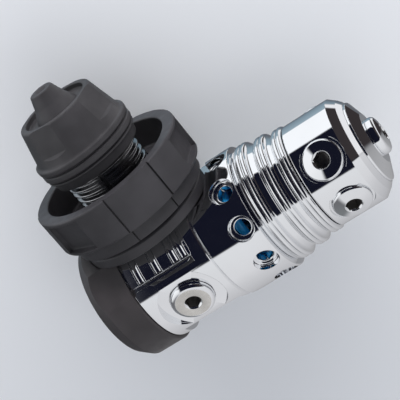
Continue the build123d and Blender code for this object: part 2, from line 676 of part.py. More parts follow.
# ================================================================ the set of nodes
nodes = {
    "main_body": make_main_body(),
    "end_bumper": make_end_bumper(),
    "seat_plug": make_seat_plug(),
    "seat_plug_o_ring": make_seat_plug_o_ring(),
    "valve_seat": make_valve_seat(),
    "piston": make_piston(),
    "piston_head_o_ring": make_piston_head_o_ring(),
    "stem_o_ring": make_stem_o_ring(),
    "stem_bush": make_stem_bush(),
    "spring_washer": make_spring_washer(),
    "main_spring": make_main_spring(),
    "body_cap": make_body_cap(),
    "swivel_turret": make_swivel_turret(),
    "turret_end_cap": make_turret_end_cap(),
    "swivel_bolt": make_swivel_bolt(),
    "swivel_o_ring": make_swivel_o_ring(),
    "end_plug": make_end_plug(),
    "end_plug_o_ring": make_end_plug_o_ring(),
    "turret_plug_o_rings": make_turret_plug_o_rings(),
    "side_plug_o_rings": make_side_plug_o_rings(),
    "insulating_ring": make_insulating_ring(),
    "inlet_o_ring": make_inlet_o_ring(),
    "din_retainer": make_din_retainer(),
    "din_face_o_ring": make_din_face_o_ring(),
    "inlet_filter": make_inlet_filter(),
    "filter_clip": make_filter_clip(),
    "coupling_nut": make_coupling_nut(),
    "handwheel": make_handwheel(),
    "dust_cap": make_dust_cap(),
}
for number, angle in enumerate(LOW_ANGLES, 1):
    nodes[f"turret_plug_{number}"] = make_turret_plug(angle)
for side, angle in zip(("front", "rear"), port_angles_high()):
    nodes[f"side_plug_{side}"] = make_side_plug(angle)

to_thread_end = Pos(0, THREAD_CHAMFER - THREAD_END, 0)
for name, solid in nodes.items():
    export_step(to_thread_end * solid, f"parts/{name}.step")
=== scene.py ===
import json
from math import acos, asin, atan2, ceil, cos, degrees, hypot, pi, radians, sin, sqrt, tan, tau

import bpy
from bpy.props import FloatProperty, FloatVectorProperty, PointerProperty
from bpy.types import Operator, Panel, PropertyGroup
from mathutils import Matrix, Vector


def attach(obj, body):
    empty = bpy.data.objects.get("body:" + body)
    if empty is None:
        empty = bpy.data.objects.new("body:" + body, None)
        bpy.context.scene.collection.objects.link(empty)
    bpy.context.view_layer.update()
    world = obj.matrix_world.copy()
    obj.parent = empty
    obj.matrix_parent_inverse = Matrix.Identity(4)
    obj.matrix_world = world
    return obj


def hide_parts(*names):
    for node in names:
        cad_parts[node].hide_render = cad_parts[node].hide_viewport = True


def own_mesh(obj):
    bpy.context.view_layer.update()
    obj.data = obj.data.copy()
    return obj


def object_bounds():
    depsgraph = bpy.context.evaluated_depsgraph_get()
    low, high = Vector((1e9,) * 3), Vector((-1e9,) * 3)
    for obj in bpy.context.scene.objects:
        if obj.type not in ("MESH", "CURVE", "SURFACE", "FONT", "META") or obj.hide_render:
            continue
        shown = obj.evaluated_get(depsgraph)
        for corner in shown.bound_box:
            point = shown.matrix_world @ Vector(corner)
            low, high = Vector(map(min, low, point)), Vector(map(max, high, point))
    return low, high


bl_info = {
    "name": "Diving Regulator First Stage",
    "version": (1, 0, 0),
    "blender": (4, 5, 0),
    "location": "3D View > Sidebar > First Stage",
    "description": "Models the chromed body, turret, handwheel and caps of a diving regulator's first stage",
    "category": "Object",
}

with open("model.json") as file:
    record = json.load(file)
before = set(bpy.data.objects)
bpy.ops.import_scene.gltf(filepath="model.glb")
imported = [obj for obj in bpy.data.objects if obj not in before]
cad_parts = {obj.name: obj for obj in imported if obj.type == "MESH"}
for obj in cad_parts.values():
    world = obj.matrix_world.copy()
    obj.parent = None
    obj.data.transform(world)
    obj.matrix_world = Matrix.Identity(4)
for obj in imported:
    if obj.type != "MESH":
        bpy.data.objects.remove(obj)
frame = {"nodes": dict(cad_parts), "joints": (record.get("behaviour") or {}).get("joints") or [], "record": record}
FRAME_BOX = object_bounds()

# The piston runs along X and the cylinder connector along Y. Their axes cross under the connector, at
# AXES_MEET. Lengths below are in millimetres from there, as a maker would write them, and MM turns them
# into metres. A station is a place along a piece's own axis, and an outline is (radius, station) corners.
MM = 0.001
JOINTS = {joint["name"]: joint for joint in frame["joints"]}
AXES_MEET = Vector(JOINTS["turret_swivel"]["pos_m"])

SEGMENTS = 256            # round a turned metal piece
FEWER_SEGMENTS = 96       # round a small or hidden one
ARC_STEP = 15.0           # degrees, largest step along a rounded corner
MERGE_WITHIN = 0.002      # mm
SHARP_ANGLE = 32.0        # degrees, edges that turn more than this stay sharp
FIT = 0.02                # between pieces that are screwed or pressed together
AS_MADE = Matrix.Identity(4)      # place of a piece that stays about Z

# ---------------------------------------------------------------- main body and its ridged cap
BODY_BACK = -20.6
BUMPER_FRONT = -11.0
BODY_FRONT = 29.1
SEAT_R = 17.2
SEAM_AT = 13.25
SEAM_WIDTH = 0.8
SEAM_DEPTH = 0.45
SPIGOT_R = 15.2
SPIGOT_END = 33.7
SPIGOT_BORE_R = 13.7
PLUG_BORE_R = 9.0
PLUG_BORE_END = -11.6
CHAMBER_R = 7.4
CHAMBER_END = 7.5
STEM_BORE_R = 5.05
POCKET_R = 8.0
POCKET_START = 9.7
AMBIENT_R = 14.2
AMBIENT_START = 15.0
WATER_HOLES = 10
HOLE_R = 2.2
HOLE_RIM_R = 3.6
HOLE_RIM_DEPTH = 2.2
HOLE_AT = 24.9
INLET_FLAT = 15.4
INLET_FLAT_R = 22.0
INLET_BORE_R = 6.52
SCOOP_DEPTH_AT = 12.8
SCOOP_FROM = -7.6
SCOOP_TO = 10.6
SCOOP_RUNOUT = 17.4
FIN_FROM = 5.8
FIN_END = 9.6
FIN_CORNER_R = 2.6
FIN_STEP = 1.0
FIN_BEVEL = 0.38           # off the window's lower edge and the lands' lower ends
FIN_BEVEL_ANGLE = 36.0
FIN_ROOT_R = 16.7
FIN_SLOT = 2.3
FIN_SLOTS = (-7.2, -1.5, 4.3, 7.1)
FIN_LAND_END = 1.0
FIN_SLOT_ROUND = 0.48      # share of a slot's width that rounds each corner of its bottom

RIDGES = ((32.2, 17.9), (37.9, 17.0), (43.0, 16.2))
CAP_FRONT = 44.6
VALLEY_START_R = 17.1      # foot of the first pair of beads
VALLEY_END_R = 15.2        # foot of the last pair
CAP_END_R = 15.7
CAP_BORE_R = 13.5
CAP_WALL_BACK = 41.0
BOLT_HOLE_R = 5.02
BEAD_R = 0.75
BEAD_SPACING = 1.35
BEAD_COVE = 0.8           # length of the hollow at a bead's foot
VALLEY_FALL = 0.15

# ---------------------------------------------------------------- turret
TURRET_BACK = 44.8
TURRET_EDGE = 58.8
SHOULDER = 61.0
SHOULDER_R = 13.85
LIP = 62.25
LIP_R = 12.35
TURRET_BORE_R = 7.0
BOLT_BORE_R = 5.05
BOLT_SEAT = 55.6
END_THREAD_R = 10.8
END_THREAD_BACK = 59.0
END_CAP_R = 12.1
END_CAP_EDGE = 62.82
END_FACE = 64.6
END_FACE_R = 7.6
PORT_ROW = 52.5

# ---------------------------------------------------------------- port plugs
LOW_ANGLES = (58, 113, 247, 302)      # round the turret, from +Y towards +Z
LOW_SEAT = 14.9
LOW_SPOT_R = 6.3
LOW_THREAD_R = 4.7
LOW_SHANK = 6.0
HIGH_ANGLES = {"front": 105, "rear": -105}
HIGH_AT = 1.3
HIGH_SEAT = 16.2
HIGH_SPOT_R = 9.6
HIGH_SPOT_UP = 0.9         # of the spot face over the plug's own seat
HIGH_THREAD_R = 5.5
HIGH_SHANK = 7.0
SOCKET = 4.0
SOCKET_DEPTH = 4.4
SOCKET_DRILL_R = 1.84
COUNTERSINK = 0.5

# ---------------------------------------------------------------- cylinder connector
THREAD_PITCH = 1.814
THREAD_DEPTH = 1.162
THREAD_START = 27.0
THREAD_END = 47.0
THREAD_RELIEF_R = 10.8
THREAD_STEP = 0.09        # between stations along the thread
VENT_ANGLE = 82.0         # of the groove cut down the thread, from +X towards +Z
VENT_WIDTH = 1.1
NUT_BOTTOM = 19.4
NUT_HEX = 26.0
NUT_HEX_TOP = 23.4
RETAINER_R = 6.55
RETAINER_HEAD_R = 8.0
RETAINER_HEAD_FROM = 40.0
INSULATOR_BOTTOM = 15.42
INSULATOR_TOP = 19.2
NOSE_BACK = 7.9           # the nose that the sleeve turns on, and what is bored in it
NOSE_R = 6.5
NOSE_END = 51.5
NOSE_PASSAGE_R = 3.0
FILTER_SEAT = 42.6
FILTER_BORE_R = 4.7
CLIP_GROOVE = (5.22, 44.1, 44.85)         # radius, from, to
SEAL_GROOVE = (5.53, 7.27, 50.14)         # inner and outer radius, floor

# ---------------------------------------------------------------- handwheel
WHEEL_TOP = 35.4
WHEEL_TIER = 23.7
WHEEL_TIER_R = 20.8
WHEEL_FLOOR = 26.6
WHEEL_CAVITY_R = 19.6
WHEEL_LOBES = 3
WHEEL_TURNED = 5.0
GRIP_HALF_ANGLE = 15.5
GRIP_DEPTH = 2.2
GRIP_LIP = 1.1
PAD_HALF_ANGLE = 19.0
PAD_DEPTH = 0.35
PARTING_WIDTH = 0.4
PARTING_DEPTH = 0.5

# ---------------------------------------------------------------- dust cap
DUST_BOTTOM = 38.4
DUST_SKIRT_R = 13.3
DUST_BANDS = (                  # from, to, height as a share of the highest one, rounding
    (41.0, 41.95, 0.55, 0.1), (42.1, 44.3, 0.85, 0.5), (44.55, 46.5, 1.0, 0.5),
)
DUST_BAND_FOOT = 0.55     # how much less high a band is at its sides
DUST_NECK = 46.9
DUST_NECK_R = 13.8
DUST_TOP = 57.1
DUST_TOP_R = 11.4
DUST_DISH_R = 9.6
DUST_DISH_DEPTH = 1.6
DUST_ROOF = 52.7
NUB_TOP = 62.8
NUB_BASE_R = 6.6
NUB_WAIST_R = 4.7
NUB_TOP_R = 3.4
DUST_PANELS = 4
DUST_TURNED = 19.0
DUST_PANEL_HALF_WIDTH = 4.4
DUST_PANEL_DEPTH = 1.25
DUST_PANEL_FROM = 49.3
DUST_RAMP = 1.6           # height of the ramp at a panel's lower end

# ---------------------------------------------------------------- bumper and seat plug
BUMPER_BEVEL_AT = -20.0
BUMPER_BACK = -23.5
BUMPER_BACK_R = 17.2
BUMPER_MOUTH_R = 10.6
BUMPER_FACETS = ((6.0, 39.0), (39.0, 72.0))
SEAT_PLUG_BACK = -21.2
SEAT_PLUG_SOCKET = 8.0
SEAT_PLUG_SOCKET_DEPTH = 4.5
SEAT_PLUG_GROOVE = (7.1, -14.6, -12.6)    # radius, from, to
SEAT_PLUG_SHOULDER = -11.62
SEAT_PLUG_NOSE = (6.6, -8.1)              # radius, end
SEAT_POCKET = (5.12, -9.62)               # radius, floor


# ================================================================ properties
def length(name, text, millimetres):
    return FloatProperty(name=name, description=text, default=millimetres * MM, min=0.0, unit="LENGTH",
                         subtype="DISTANCE", precision=4)


def colour(name, text, value):
    return FloatVectorProperty(name=name, description=text, default=value, size=3, min=0.0, max=1.0,
                               subtype="COLOR")


class BodySizes(PropertyGroup):
    barrel_r: length("Barrel radius", "Radius of the chromed body", 18.9)
    edge: length("Edge rounding", "Rounding along the body's turned edges", 0.35)


class TurretSizes(PropertyGroup):
    turret_r: length("Turret radius", "Radius of the swivelling turret", 15.6)
    edge: length("Edge rounding", "Rounding of the turret's front edge", 0.25)


class PlugSizes(PropertyGroup):
    low_head_r: length("Hose plug radius", "Head radius of the plugs round the turret", 5.6)
    low_head_h: length("Hose plug height", "Head height of the plugs round the turret", 1.9)
    side_head_r: length("Side plug radius", "Head radius of the plugs on the body's sides", 6.2)
    side_head_h: length("Side plug height", "Head height of the plugs on the body's sides", 3.0)
    end_head_r: length("End plug radius", "Head radius of the domed plug on the turret's end", 5.5)
    end_head_h: length("End plug height", "Head height of the domed plug on the turret's end", 2.9)


class CouplingSizes(PropertyGroup):
    wheel_r: length("Handwheel radius", "Radius of the handwheel's main tier", 23.3)
    thread_r: length("Thread radius", "Crest radius of the cylinder connector's thread", 11.455)
    insulator_r: length("Spacer radius", "Radius of the plastic ring under the handwheel", 19.8)


class CapSizes(PropertyGroup):
    bead_r: length("Bead radius", "Radius over the dust cap's two beads", 14.9)


class BumperSizes(PropertyGroup):
    bumper_r: length("Bumper radius", "Radius of the plastic bumper on the closed end", 19.7)


class FinishColours(PropertyGroup):
    chrome: colour("Chrome", "Polished plating", (0.86, 0.87, 0.885))
    satin: colour("Satin chrome", "Faces of the side plugs", (0.74, 0.72, 0.68))
    dark_plate: colour("Dark plating", "Threaded sleeve of the connector", (0.42, 0.42, 0.43))
    wheel: colour("Handwheel plastic", "Moulded black of the handwheel", (0.031, 0.0295, 0.033))
    cap: colour("Dust cap plastic", "Softer black of the dust cap", (0.031, 0.0295, 0.032))
    bumper: colour("Bumper plastic", "Warm charcoal of the bumper", (0.038, 0.033, 0.035))
    spring: colour("Spring coating", "Blue coating of the main spring", (0.03, 0.44, 0.95))
    floor: colour("Floor", "Plain studio floor", (0.80, 0.81, 0.83))


SETTINGS = {
    "first_stage_body": BodySizes, "first_stage_turret": TurretSizes, "first_stage_plugs": PlugSizes,
    "first_stage_coupling": CouplingSizes, "first_stage_cap": CapSizes, "first_stage_bumper": BumperSizes,
    "first_stage_finish": FinishColours,
}


# ================================================================ modelling by hand
def only(obj):
    """Select one object and make it the active one."""
    bpy.ops.object.select_all(action="DESELECT")
    obj.select_set(True)
    bpy.context.view_layer.objects.active = obj


def pick(obj, wanted):
    """Select the corners for which a test of their place holds, and the edges and faces between them."""
    only(obj)
    mesh = obj.data
    chosen = {vertex.index for vertex in mesh.vertices if wanted(vertex.co / MM)}
    for vertex in mesh.vertices:
        vertex.select = vertex.index in chosen
    for part in (*mesh.edges, *mesh.polygons):
        part.select = chosen.issuperset(part.vertices)


def bevelled(width, segments):
    """Round or bevel the picked edges of the active piece, by so many millimetres."""
    bpy.ops.object.mode_set(mode="EDIT")
    bpy.ops.mesh.bevel(offset=width * MM, segments=segments)
    bpy.ops.object.mode_set(mode="OBJECT")


def settle(obj, placed=None):
    """Put an object in place and apply that place to its mesh."""
    only(obj)
    if placed is not None:
        obj.matrix_world = placed @ obj.matrix_world
    bpy.ops.object.transform_apply(location=True, rotation=True, scale=True)


def along_x():
    """Lays a piece made about Z along the piston's axis."""
    return Matrix.Translation(AXES_MEET) @ Matrix.Rotation(pi / 2, 4, "Y")


def along_y():
    """Lays a piece made about Z along the connector's axis."""
    return Matrix.Translation(AXES_MEET) @ Matrix.Rotation(-pi / 2, 4, "X")


def radial(station, angle, height=0.0):
    """Place round the piston's axis, with Z outwards at an angle from +Y towards +Z."""
    foot = Matrix.Translation(AXES_MEET + Vector((station * MM, 0, 0)))
    return foot @ Matrix.Rotation(radians(angle - 90), 4, "X") @ Matrix.Translation((0, 0, height * MM))


def about_z(angle):
    """Turn about Z, in degrees."""
    return Matrix.Rotation(radians(angle), 4, "Z")


def rounded(*corners):
    """Outline through (radius, station) corners, each with the radius of its rounding where it has one."""
    count = len(corners)
    outline = []
    for place, corner in enumerate(corners):
        here = Vector(corner[:2])
        if len(corner) < 3:
            outline.append(tuple(here))
            continue
        back = (Vector(corners[place - 1][:2]) - here).normalized()
        ahead = (Vector(corners[(place + 1) % count][:2]) - here).normalized()
        between = acos(max(-1.0, min(1.0, back.dot(ahead))))
        reach = corner[2] / tan(between / 2)
        centre = here + (back + ahead).normalized() * corner[2] / sin(between / 2)
        start = here + back * reach - centre
        end = here + ahead * reach - centre
        swept = (atan2(end.y, end.x) - atan2(start.y, start.x) + pi) % tau - pi
        steps = max(2, ceil(abs(degrees(swept)) / ARC_STEP))
        for step in range(steps + 1):
            angle = atan2(start.y, start.x) + swept * step / steps
            outline.append((centre.x + corner[2] * cos(angle), centre.y + corner[2] * sin(angle)))
    return outline


def clean(obj):
    """Merge what coincides and turn every face outwards."""
    only(obj)
    bpy.ops.object.mode_set(mode="EDIT")
    bpy.ops.mesh.select_all(action="SELECT")
    bpy.ops.mesh.remove_doubles(threshold=MERGE_WITHIN * MM)
    bpy.ops.mesh.normals_make_consistent(inside=False)
    bpy.ops.object.mode_set(mode="OBJECT")


def lathe(name, outline, placed, segments=SEGMENTS):
    """Piece turned about Z from a closed outline, or one that starts and ends on the axis."""
    outline = list(outline)
    if outline[0][0] > 0:
        outline.append(outline[0])
    radius, station = outline[0]
    bpy.ops.object.select_all(action="DESELECT")
    bpy.ops.mesh.primitive_plane_add(size=MM, location=(radius * MM, 0, station * MM))
    obj = bpy.context.object
    obj.name = name
    obj.data.name = name
    settle(obj)
    bpy.ops.object.mode_set(mode="EDIT")
    bpy.ops.mesh.select_all(action="SELECT")
    bpy.ops.mesh.merge(type="CENTER")
    for here, there in zip(outline, outline[1:]):
        step = ((there[0] - here[0]) * MM, 0, (there[1] - here[1]) * MM)
        bpy.ops.mesh.extrude_vertices_move(TRANSFORM_OT_translate={"value": step})
    bpy.ops.mesh.select_all(action="SELECT")
    bpy.ops.mesh.spin(steps=segments, angle=tau, center=(0, 0, 0), axis=(0, 0, 1), use_auto_merge=True)
    bpy.ops.object.mode_set(mode="OBJECT")
    clean(obj)
    settle(obj, placed)
    return obj


def ring(inner, outer, start, end, placed, segments=SEGMENTS):
    """Tool that takes all between two radii."""
    return lathe("tool", [(inner, start), (outer, start), (outer, end), (inner, end)], placed, segments)


def cylinder(radius, start, end, placed, segments=FEWER_SEGMENTS):
    """Tool for drilling and milling, made about Z."""
    return ring(0, radius, start, end, placed, segments)


def stepped_bore(steps, end, placed):
    """Tool for a bore that widens outwards to its end, through (radius, start) steps."""
    outline = [(0, steps[0][1])]
    for (radius, start), stop in zip(steps, [step[1] for step in steps[1:]] + [end]):
        outline += [(radius, start), (radius, stop)]
    return lathe("tool", outline + [(0, end)], placed)


def block(low, high, placed=None):
    """Tool with six flat sides between two corners in millimetres."""
    low, high = Vector(low), Vector(high)
    bpy.ops.object.select_all(action="DESELECT")
    bpy.ops.mesh.primitive_cube_add(size=1, location=(low + high) / 2 * MM, scale=(high - low) * MM)
    obj = bpy.context.object
    obj.name = "tool"
    settle(obj)
    settle(obj, placed)
    return obj


def prism(sides, across_flats, start, end, placed):
    """Hexagon or other even-sided bar about Z."""
    bpy.ops.object.select_all(action="DESELECT")
    bpy.ops.mesh.primitive_cylinder_add(vertices=sides, radius=across_flats / 2 / cos(pi / sides) * MM,
                                        depth=(end - start) * MM, location=(0, 0, (start + end) / 2 * MM))
    obj = bpy.context.object
    obj.name = "tool"
    settle(obj)
    settle(obj, placed)
    return obj


def carve(obj, *tools, operation="DIFFERENCE"):
    """Cut with each tool in turn, or join or keep what is shared, and throw the tool away."""
    for tool in tools:
        only(obj)
        bpy.ops.object.modifier_add(type="BOOLEAN")
        cut = obj.modifiers[-1]
        cut.operation = operation
        cut.solver = "MANIFOLD"
        cut.object = tool
        bpy.ops.object.modifier_apply(modifier=cut.name)
        bpy.data.objects.remove(tool)
    obj.data.materials.clear()
    return obj


def smooth(obj, angle=SHARP_ANGLE):
    """Smooth the round faces, keep the sharp edges, and let flat faces stay flat."""
    only(obj)
    bpy.ops.object.shade_smooth_by_angle(angle=radians(angle))
    bpy.ops.object.modifier_add(type="WEIGHTED_NORMAL")
    weighted = obj.modifiers[-1]
    weighted.keep_sharp = True
    weighted.weight = 80
    bpy.ops.object.modifier_apply(modifier=weighted.name)


def copied(obj, name, placed):
    """A copy with its own mesh, put in its place."""
    only(obj)
    bpy.ops.object.duplicate(linked=False)
    copy = bpy.context.object
    copy.name = name
    copy.data.name = name
    settle(copy, placed)
    return copy


def finished(obj, name, body, slot, *nodes):
    """Name a piece, give it its slot's finish if it has none, and make it ride and stand for its solids."""
    obj.name = name
    obj.data.name = name
    if not obj.data.materials:
        obj.data.materials.append(material(slot))
    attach(obj, body)
    if nodes:
        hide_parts(*nodes)
    return obj


# ================================================================ materials
class Finish:
    """A material's node tree, with the few steps that every finish here shares."""

    def __init__(self, name, base, roughness, metallic=0.0):
        self.material = bpy.data.materials.new(name)
        self.material.use_nodes = True
        self.nodes = self.material.node_tree.nodes
        self.links = self.material.node_tree.links
        self.shader = self.nodes["Principled BSDF"]
        self.shader.inputs["Base Color"].default_value = (*base, 1.0)
        self.shader.inputs["Metallic"].default_value = metallic
        self.shader.inputs["Roughness"].default_value = roughness
        self.base = Vector(base)
        self.roughness = roughness
        self.place = self.nodes.new("ShaderNodeTexCoord").outputs["Object"]
        self.normal = None

    def noise(self, scale, detail=3.0, stretch=None):
        """Noise on the piece's own coordinates, at so many waves per millimetre."""
        texture = self.nodes.new("ShaderNodeTexNoise")
        texture.inputs["Scale"].default_value = scale / MM
        texture.inputs["Detail"].default_value = detail
        source = self.place
        if stretch:
            mapping = self.nodes.new("ShaderNodeMapping")
            mapping.inputs["Scale"].default_value = stretch
            self.links.new(self.place, mapping.inputs["Vector"])
            source = mapping.outputs["Vector"]
        self.links.new(source, texture.inputs["Vector"])
        return texture.outputs["Fac"]

    def mottle(self, fac, darker, lighter):
        """Colour that wanders between two multiples of the base."""
        ramp = self.nodes.new("ShaderNodeValToRGB")
        ramp.color_ramp.elements[0].position = 0.35
        ramp.color_ramp.elements[1].position = 0.65
        for element, share in zip(ramp.color_ramp.elements, (darker, lighter)):
            element.color = (*(min(1.0, channel * share) for channel in self.base), 1.0)
        self.links.new(fac, ramp.inputs["Fac"])
        self.links.new(ramp.outputs["Color"], self.shader.inputs["Base Color"])

    def vary_roughness(self, fac, spread):
        """Roughness that wanders round the base by a spread either way."""
        span = self.nodes.new("ShaderNodeMapRange")
        span.inputs["From Min"].default_value = 0.3
        span.inputs["From Max"].default_value = 0.7
        span.inputs["To Min"].default_value = max(0.0, self.roughness - spread)
        span.inputs["To Max"].default_value = self.roughness + spread
        self.links.new(fac, span.inputs["Value"])
        self.links.new(span.outputs["Result"], self.shader.inputs["Roughness"])

    def soft_edges(self, radius):
        """Small rounding on every edge, in millimetres."""
        bevel = self.nodes.new("ShaderNodeBevel")
        bevel.samples = 4
        bevel.inputs["Radius"].default_value = radius * MM
        self.normal = bevel.outputs["Normal"]
        self.links.new(self.normal, self.shader.inputs["Normal"])

    def relief(self, fac, height, strength=1.0):
        """Fine bump of a height in millimetres, over any soft edges."""
        bump = self.nodes.new("ShaderNodeBump")
        bump.inputs["Strength"].default_value = strength
        bump.inputs["Distance"].default_value = height * MM
        self.links.new(fac, bump.inputs["Height"])
        if self.normal:
            self.links.new(self.normal, bump.inputs["Normal"])
        self.normal = bump.outputs["Normal"]
        self.links.new(self.normal, self.shader.inputs["Normal"])


def polished_chrome(colours):
    finish = Finish("polished_chrome", colours.chrome, 0.045, 1.0)
    finish.mottle(finish.noise(0.04), 0.97, 1.02)
    finish.vary_roughness(finish.noise(0.25), 0.02)
    finish.soft_edges(0.16)
    return finish.material


def satin_chrome(colours):
    finish = Finish("satin_chrome", colours.satin, 0.30, 1.0)
    finish.mottle(finish.noise(0.3), 0.92, 1.05)
    finish.vary_roughness(finish.noise(1.5), 0.05)
    finish.soft_edges(0.12)
    finish.relief(finish.noise(2.5, 3.0), 0.0015, 0.5)
    return finish.material


def dark_plating(colours):
    finish = Finish("dark_plating", colours.dark_plate, 0.22, 1.0)
    finish.mottle(finish.noise(0.2), 0.88, 1.12)
    finish.vary_roughness(finish.noise(0.3), 0.03)
    return finish.material


def moulded(name, base, roughness, grain):
    """Black plastic as it leaves a spark-eroded mould: fine grain, faint clouding and duller patches."""
    finish = Finish(name, base, roughness)
    finish.shader.inputs["Specular IOR Level"].default_value = 0.45
    finish.mottle(finish.noise(0.12), 0.86, 1.16)
    finish.vary_roughness(finish.noise(0.4), 0.06)
    finish.soft_edges(0.22)
    finish.relief(finish.noise(3.2, 4.0), grain, 0.7)
    return finish.material


def plain_metal(name, base, roughness, grain_scale=1.2):
    """Machined metal that shows its tool marks faintly."""
    finish = Finish(name, base, roughness, 1.0)
    finish.mottle(finish.noise(grain_scale), 0.85, 1.1)
    finish.vary_roughness(finish.noise(2.0, stretch=(6, 1, 1)), 0.06)
    return finish.material


def coated_spring(colours):
    finish = Finish("blue_coating", colours.spring, 0.28)
    finish.mottle(finish.noise(0.35), 0.88, 1.15)
    finish.shader.inputs["Coat Weight"].default_value = 0.5
    finish.shader.inputs["Coat Roughness"].default_value = 0.12
    return finish.material


def sintered(name, base):
    finish = Finish(name, base, 0.55, 1.0)
    finish.mottle(finish.noise(4.0, 5.0), 0.45, 1.3)
    finish.relief(finish.noise(5.0, 5.0), 0.05)
    return finish.material


def rubber(name, base):
    finish = Finish(name, base, 0.62)
    finish.mottle(finish.noise(1.0), 0.8, 1.3)
    finish.relief(finish.noise(6.0), 0.01)
    return finish.material


def make_materials(colours):
    """One material for each slot of the part, by slot name, and those that only a detail uses."""
    return {
        "chromed_brass": polished_chrome(colours),
        "satin_chrome": satin_chrome(colours),
        "dark_plated_brass": dark_plating(colours),
        "bare_brass": plain_metal("bare_brass", (0.80, 0.58, 0.26), 0.28),
        "sintered_bronze": sintered("sintered_bronze", (0.45, 0.27, 0.13)),
        "piston_steel": plain_metal("piston_steel", (0.62, 0.62, 0.63), 0.22),
        "blue_coated_steel": coated_spring(colours),
        "black_plastic": moulded("black_plastic", colours.wheel, 0.46, 0.012),
        "bumper_plastic": moulded("bumper_plastic", colours.bumper, 0.42, 0.010),
        "dust_cap_plastic": moulded("dust_cap_plastic", colours.cap, 0.50, 0.014),
        "seat_plastic": rubber("seat_plastic", (0.75, 0.74, 0.70)),
        # socket: darker, duller metal inside the plugs' hexagon sockets, partly the unplated bore and partly
        # painted shade in the recess
        "socket": plain_metal("socket", (0.36, 0.35, 0.34), 0.42),
        "seal_rubber": rubber("seal_rubber", (0.02, 0.02, 0.022)),
    }


def material(slot):
    """The finish of a material slot, made on first use."""
    if not MATERIALS:
        MATERIALS.update(make_materials(bpy.context.scene.first_stage_finish))
    return MATERIALS[slot]


MATERIALS = {}


# ================================================================ body
def fin_tools(side):
    """Tools that mill the stepped window and the slots between the cooling fins, above or below."""
    radius = bpy.context.scene.first_stage_body.barrel_r / MM
    depth = radius + 1
    at_axes = Matrix.Translation(AXES_MEET)
    window = block((BUMPER_FRONT, FIN_FROM, 0), (FIN_END, radius, depth * side), at_axes)
    corner = AXES_MEET / MM + Vector((FIN_END, FIN_FROM, 0))
    pick(window, lambda place: hypot(place.x - corner.x, place.y - corner.y) < 0.1)
    bevelled(FIN_CORNER_R, 8)
    floor_r = radius - FIN_STEP
    step = ring(floor_r, radius + 2, BUMPER_FRONT - 1, FIN_END + 1, along_x())
    carve(step, window, operation="INTERSECT")
    corner_z = sqrt(radius ** 2 - FIN_FROM ** 2)
    lean = radians(FIN_BEVEL_ANGLE)
    height = FIN_FROM * cos(lean) + corner_z * sin(lean) - FIN_BEVEL
    across = FIN_FROM * sin(lean) - corner_z * cos(lean)
    bevel = block((BUMPER_FRONT - 1, across - 1.2, height), (FIN_END - 0.4, across + 1.8, height + 4),
                  radial(0, FIN_BEVEL_ANGLE))
    if side < 0:
        settle(bevel, at_axes @ Matrix.Scale(-1, 4, (0, 0, 1)) @ at_axes.inverted())
        clean(bevel)
    tools = [step, bevel]
    for station in FIN_SLOTS:
        low, high = station - FIN_SLOT / 2, station + FIN_SLOT / 2
        slot = lathe("tool", rounded(
            (FIN_ROOT_R, low, FIN_SLOT_ROUND * FIN_SLOT), (floor_r, low, 0.15), (floor_r, low - 0.3),
            (radius + 2, low - 0.3),
            (radius + 2, high + 0.3), (floor_r, high + 0.3), (floor_r, high, 0.15),
            (FIN_ROOT_R, high, FIN_SLOT_ROUND * FIN_SLOT)), along_x())
        above = block((low - 1, FIN_FROM + FIN_LAND_END, 0), (high + 1, radius + 3, (radius + 3) * side),
                      at_axes)
        carve(slot, above, operation="INTERSECT")
        tools.append(slot)
    return tools


def scoop_tool():
    """Tool that mills the scoop opposite the connector and runs out towards the turret."""
    radius = bpy.context.scene.first_stage_body.barrel_r / MM
    tool = block((SCOOP_FROM, -radius - 2, -radius - 1), (SCOOP_RUNOUT, -SCOOP_DEPTH_AT, radius + 1),
                 Matrix.Translation(AXES_MEET))
    lean = atan2(radius - SEAM_WIDTH - SCOOP_DEPTH_AT, SCOOP_RUNOUT - SCOOP_TO)
    foot = AXES_MEET + Vector((SCOOP_TO, -SCOOP_DEPTH_AT, 0)) * MM
    return carve(tool, block((-5, 0, -radius - 3), (30, 30, radius + 3),
                             Matrix.Translation(foot) @ Matrix.Rotation(-lean, 4, "Z")))


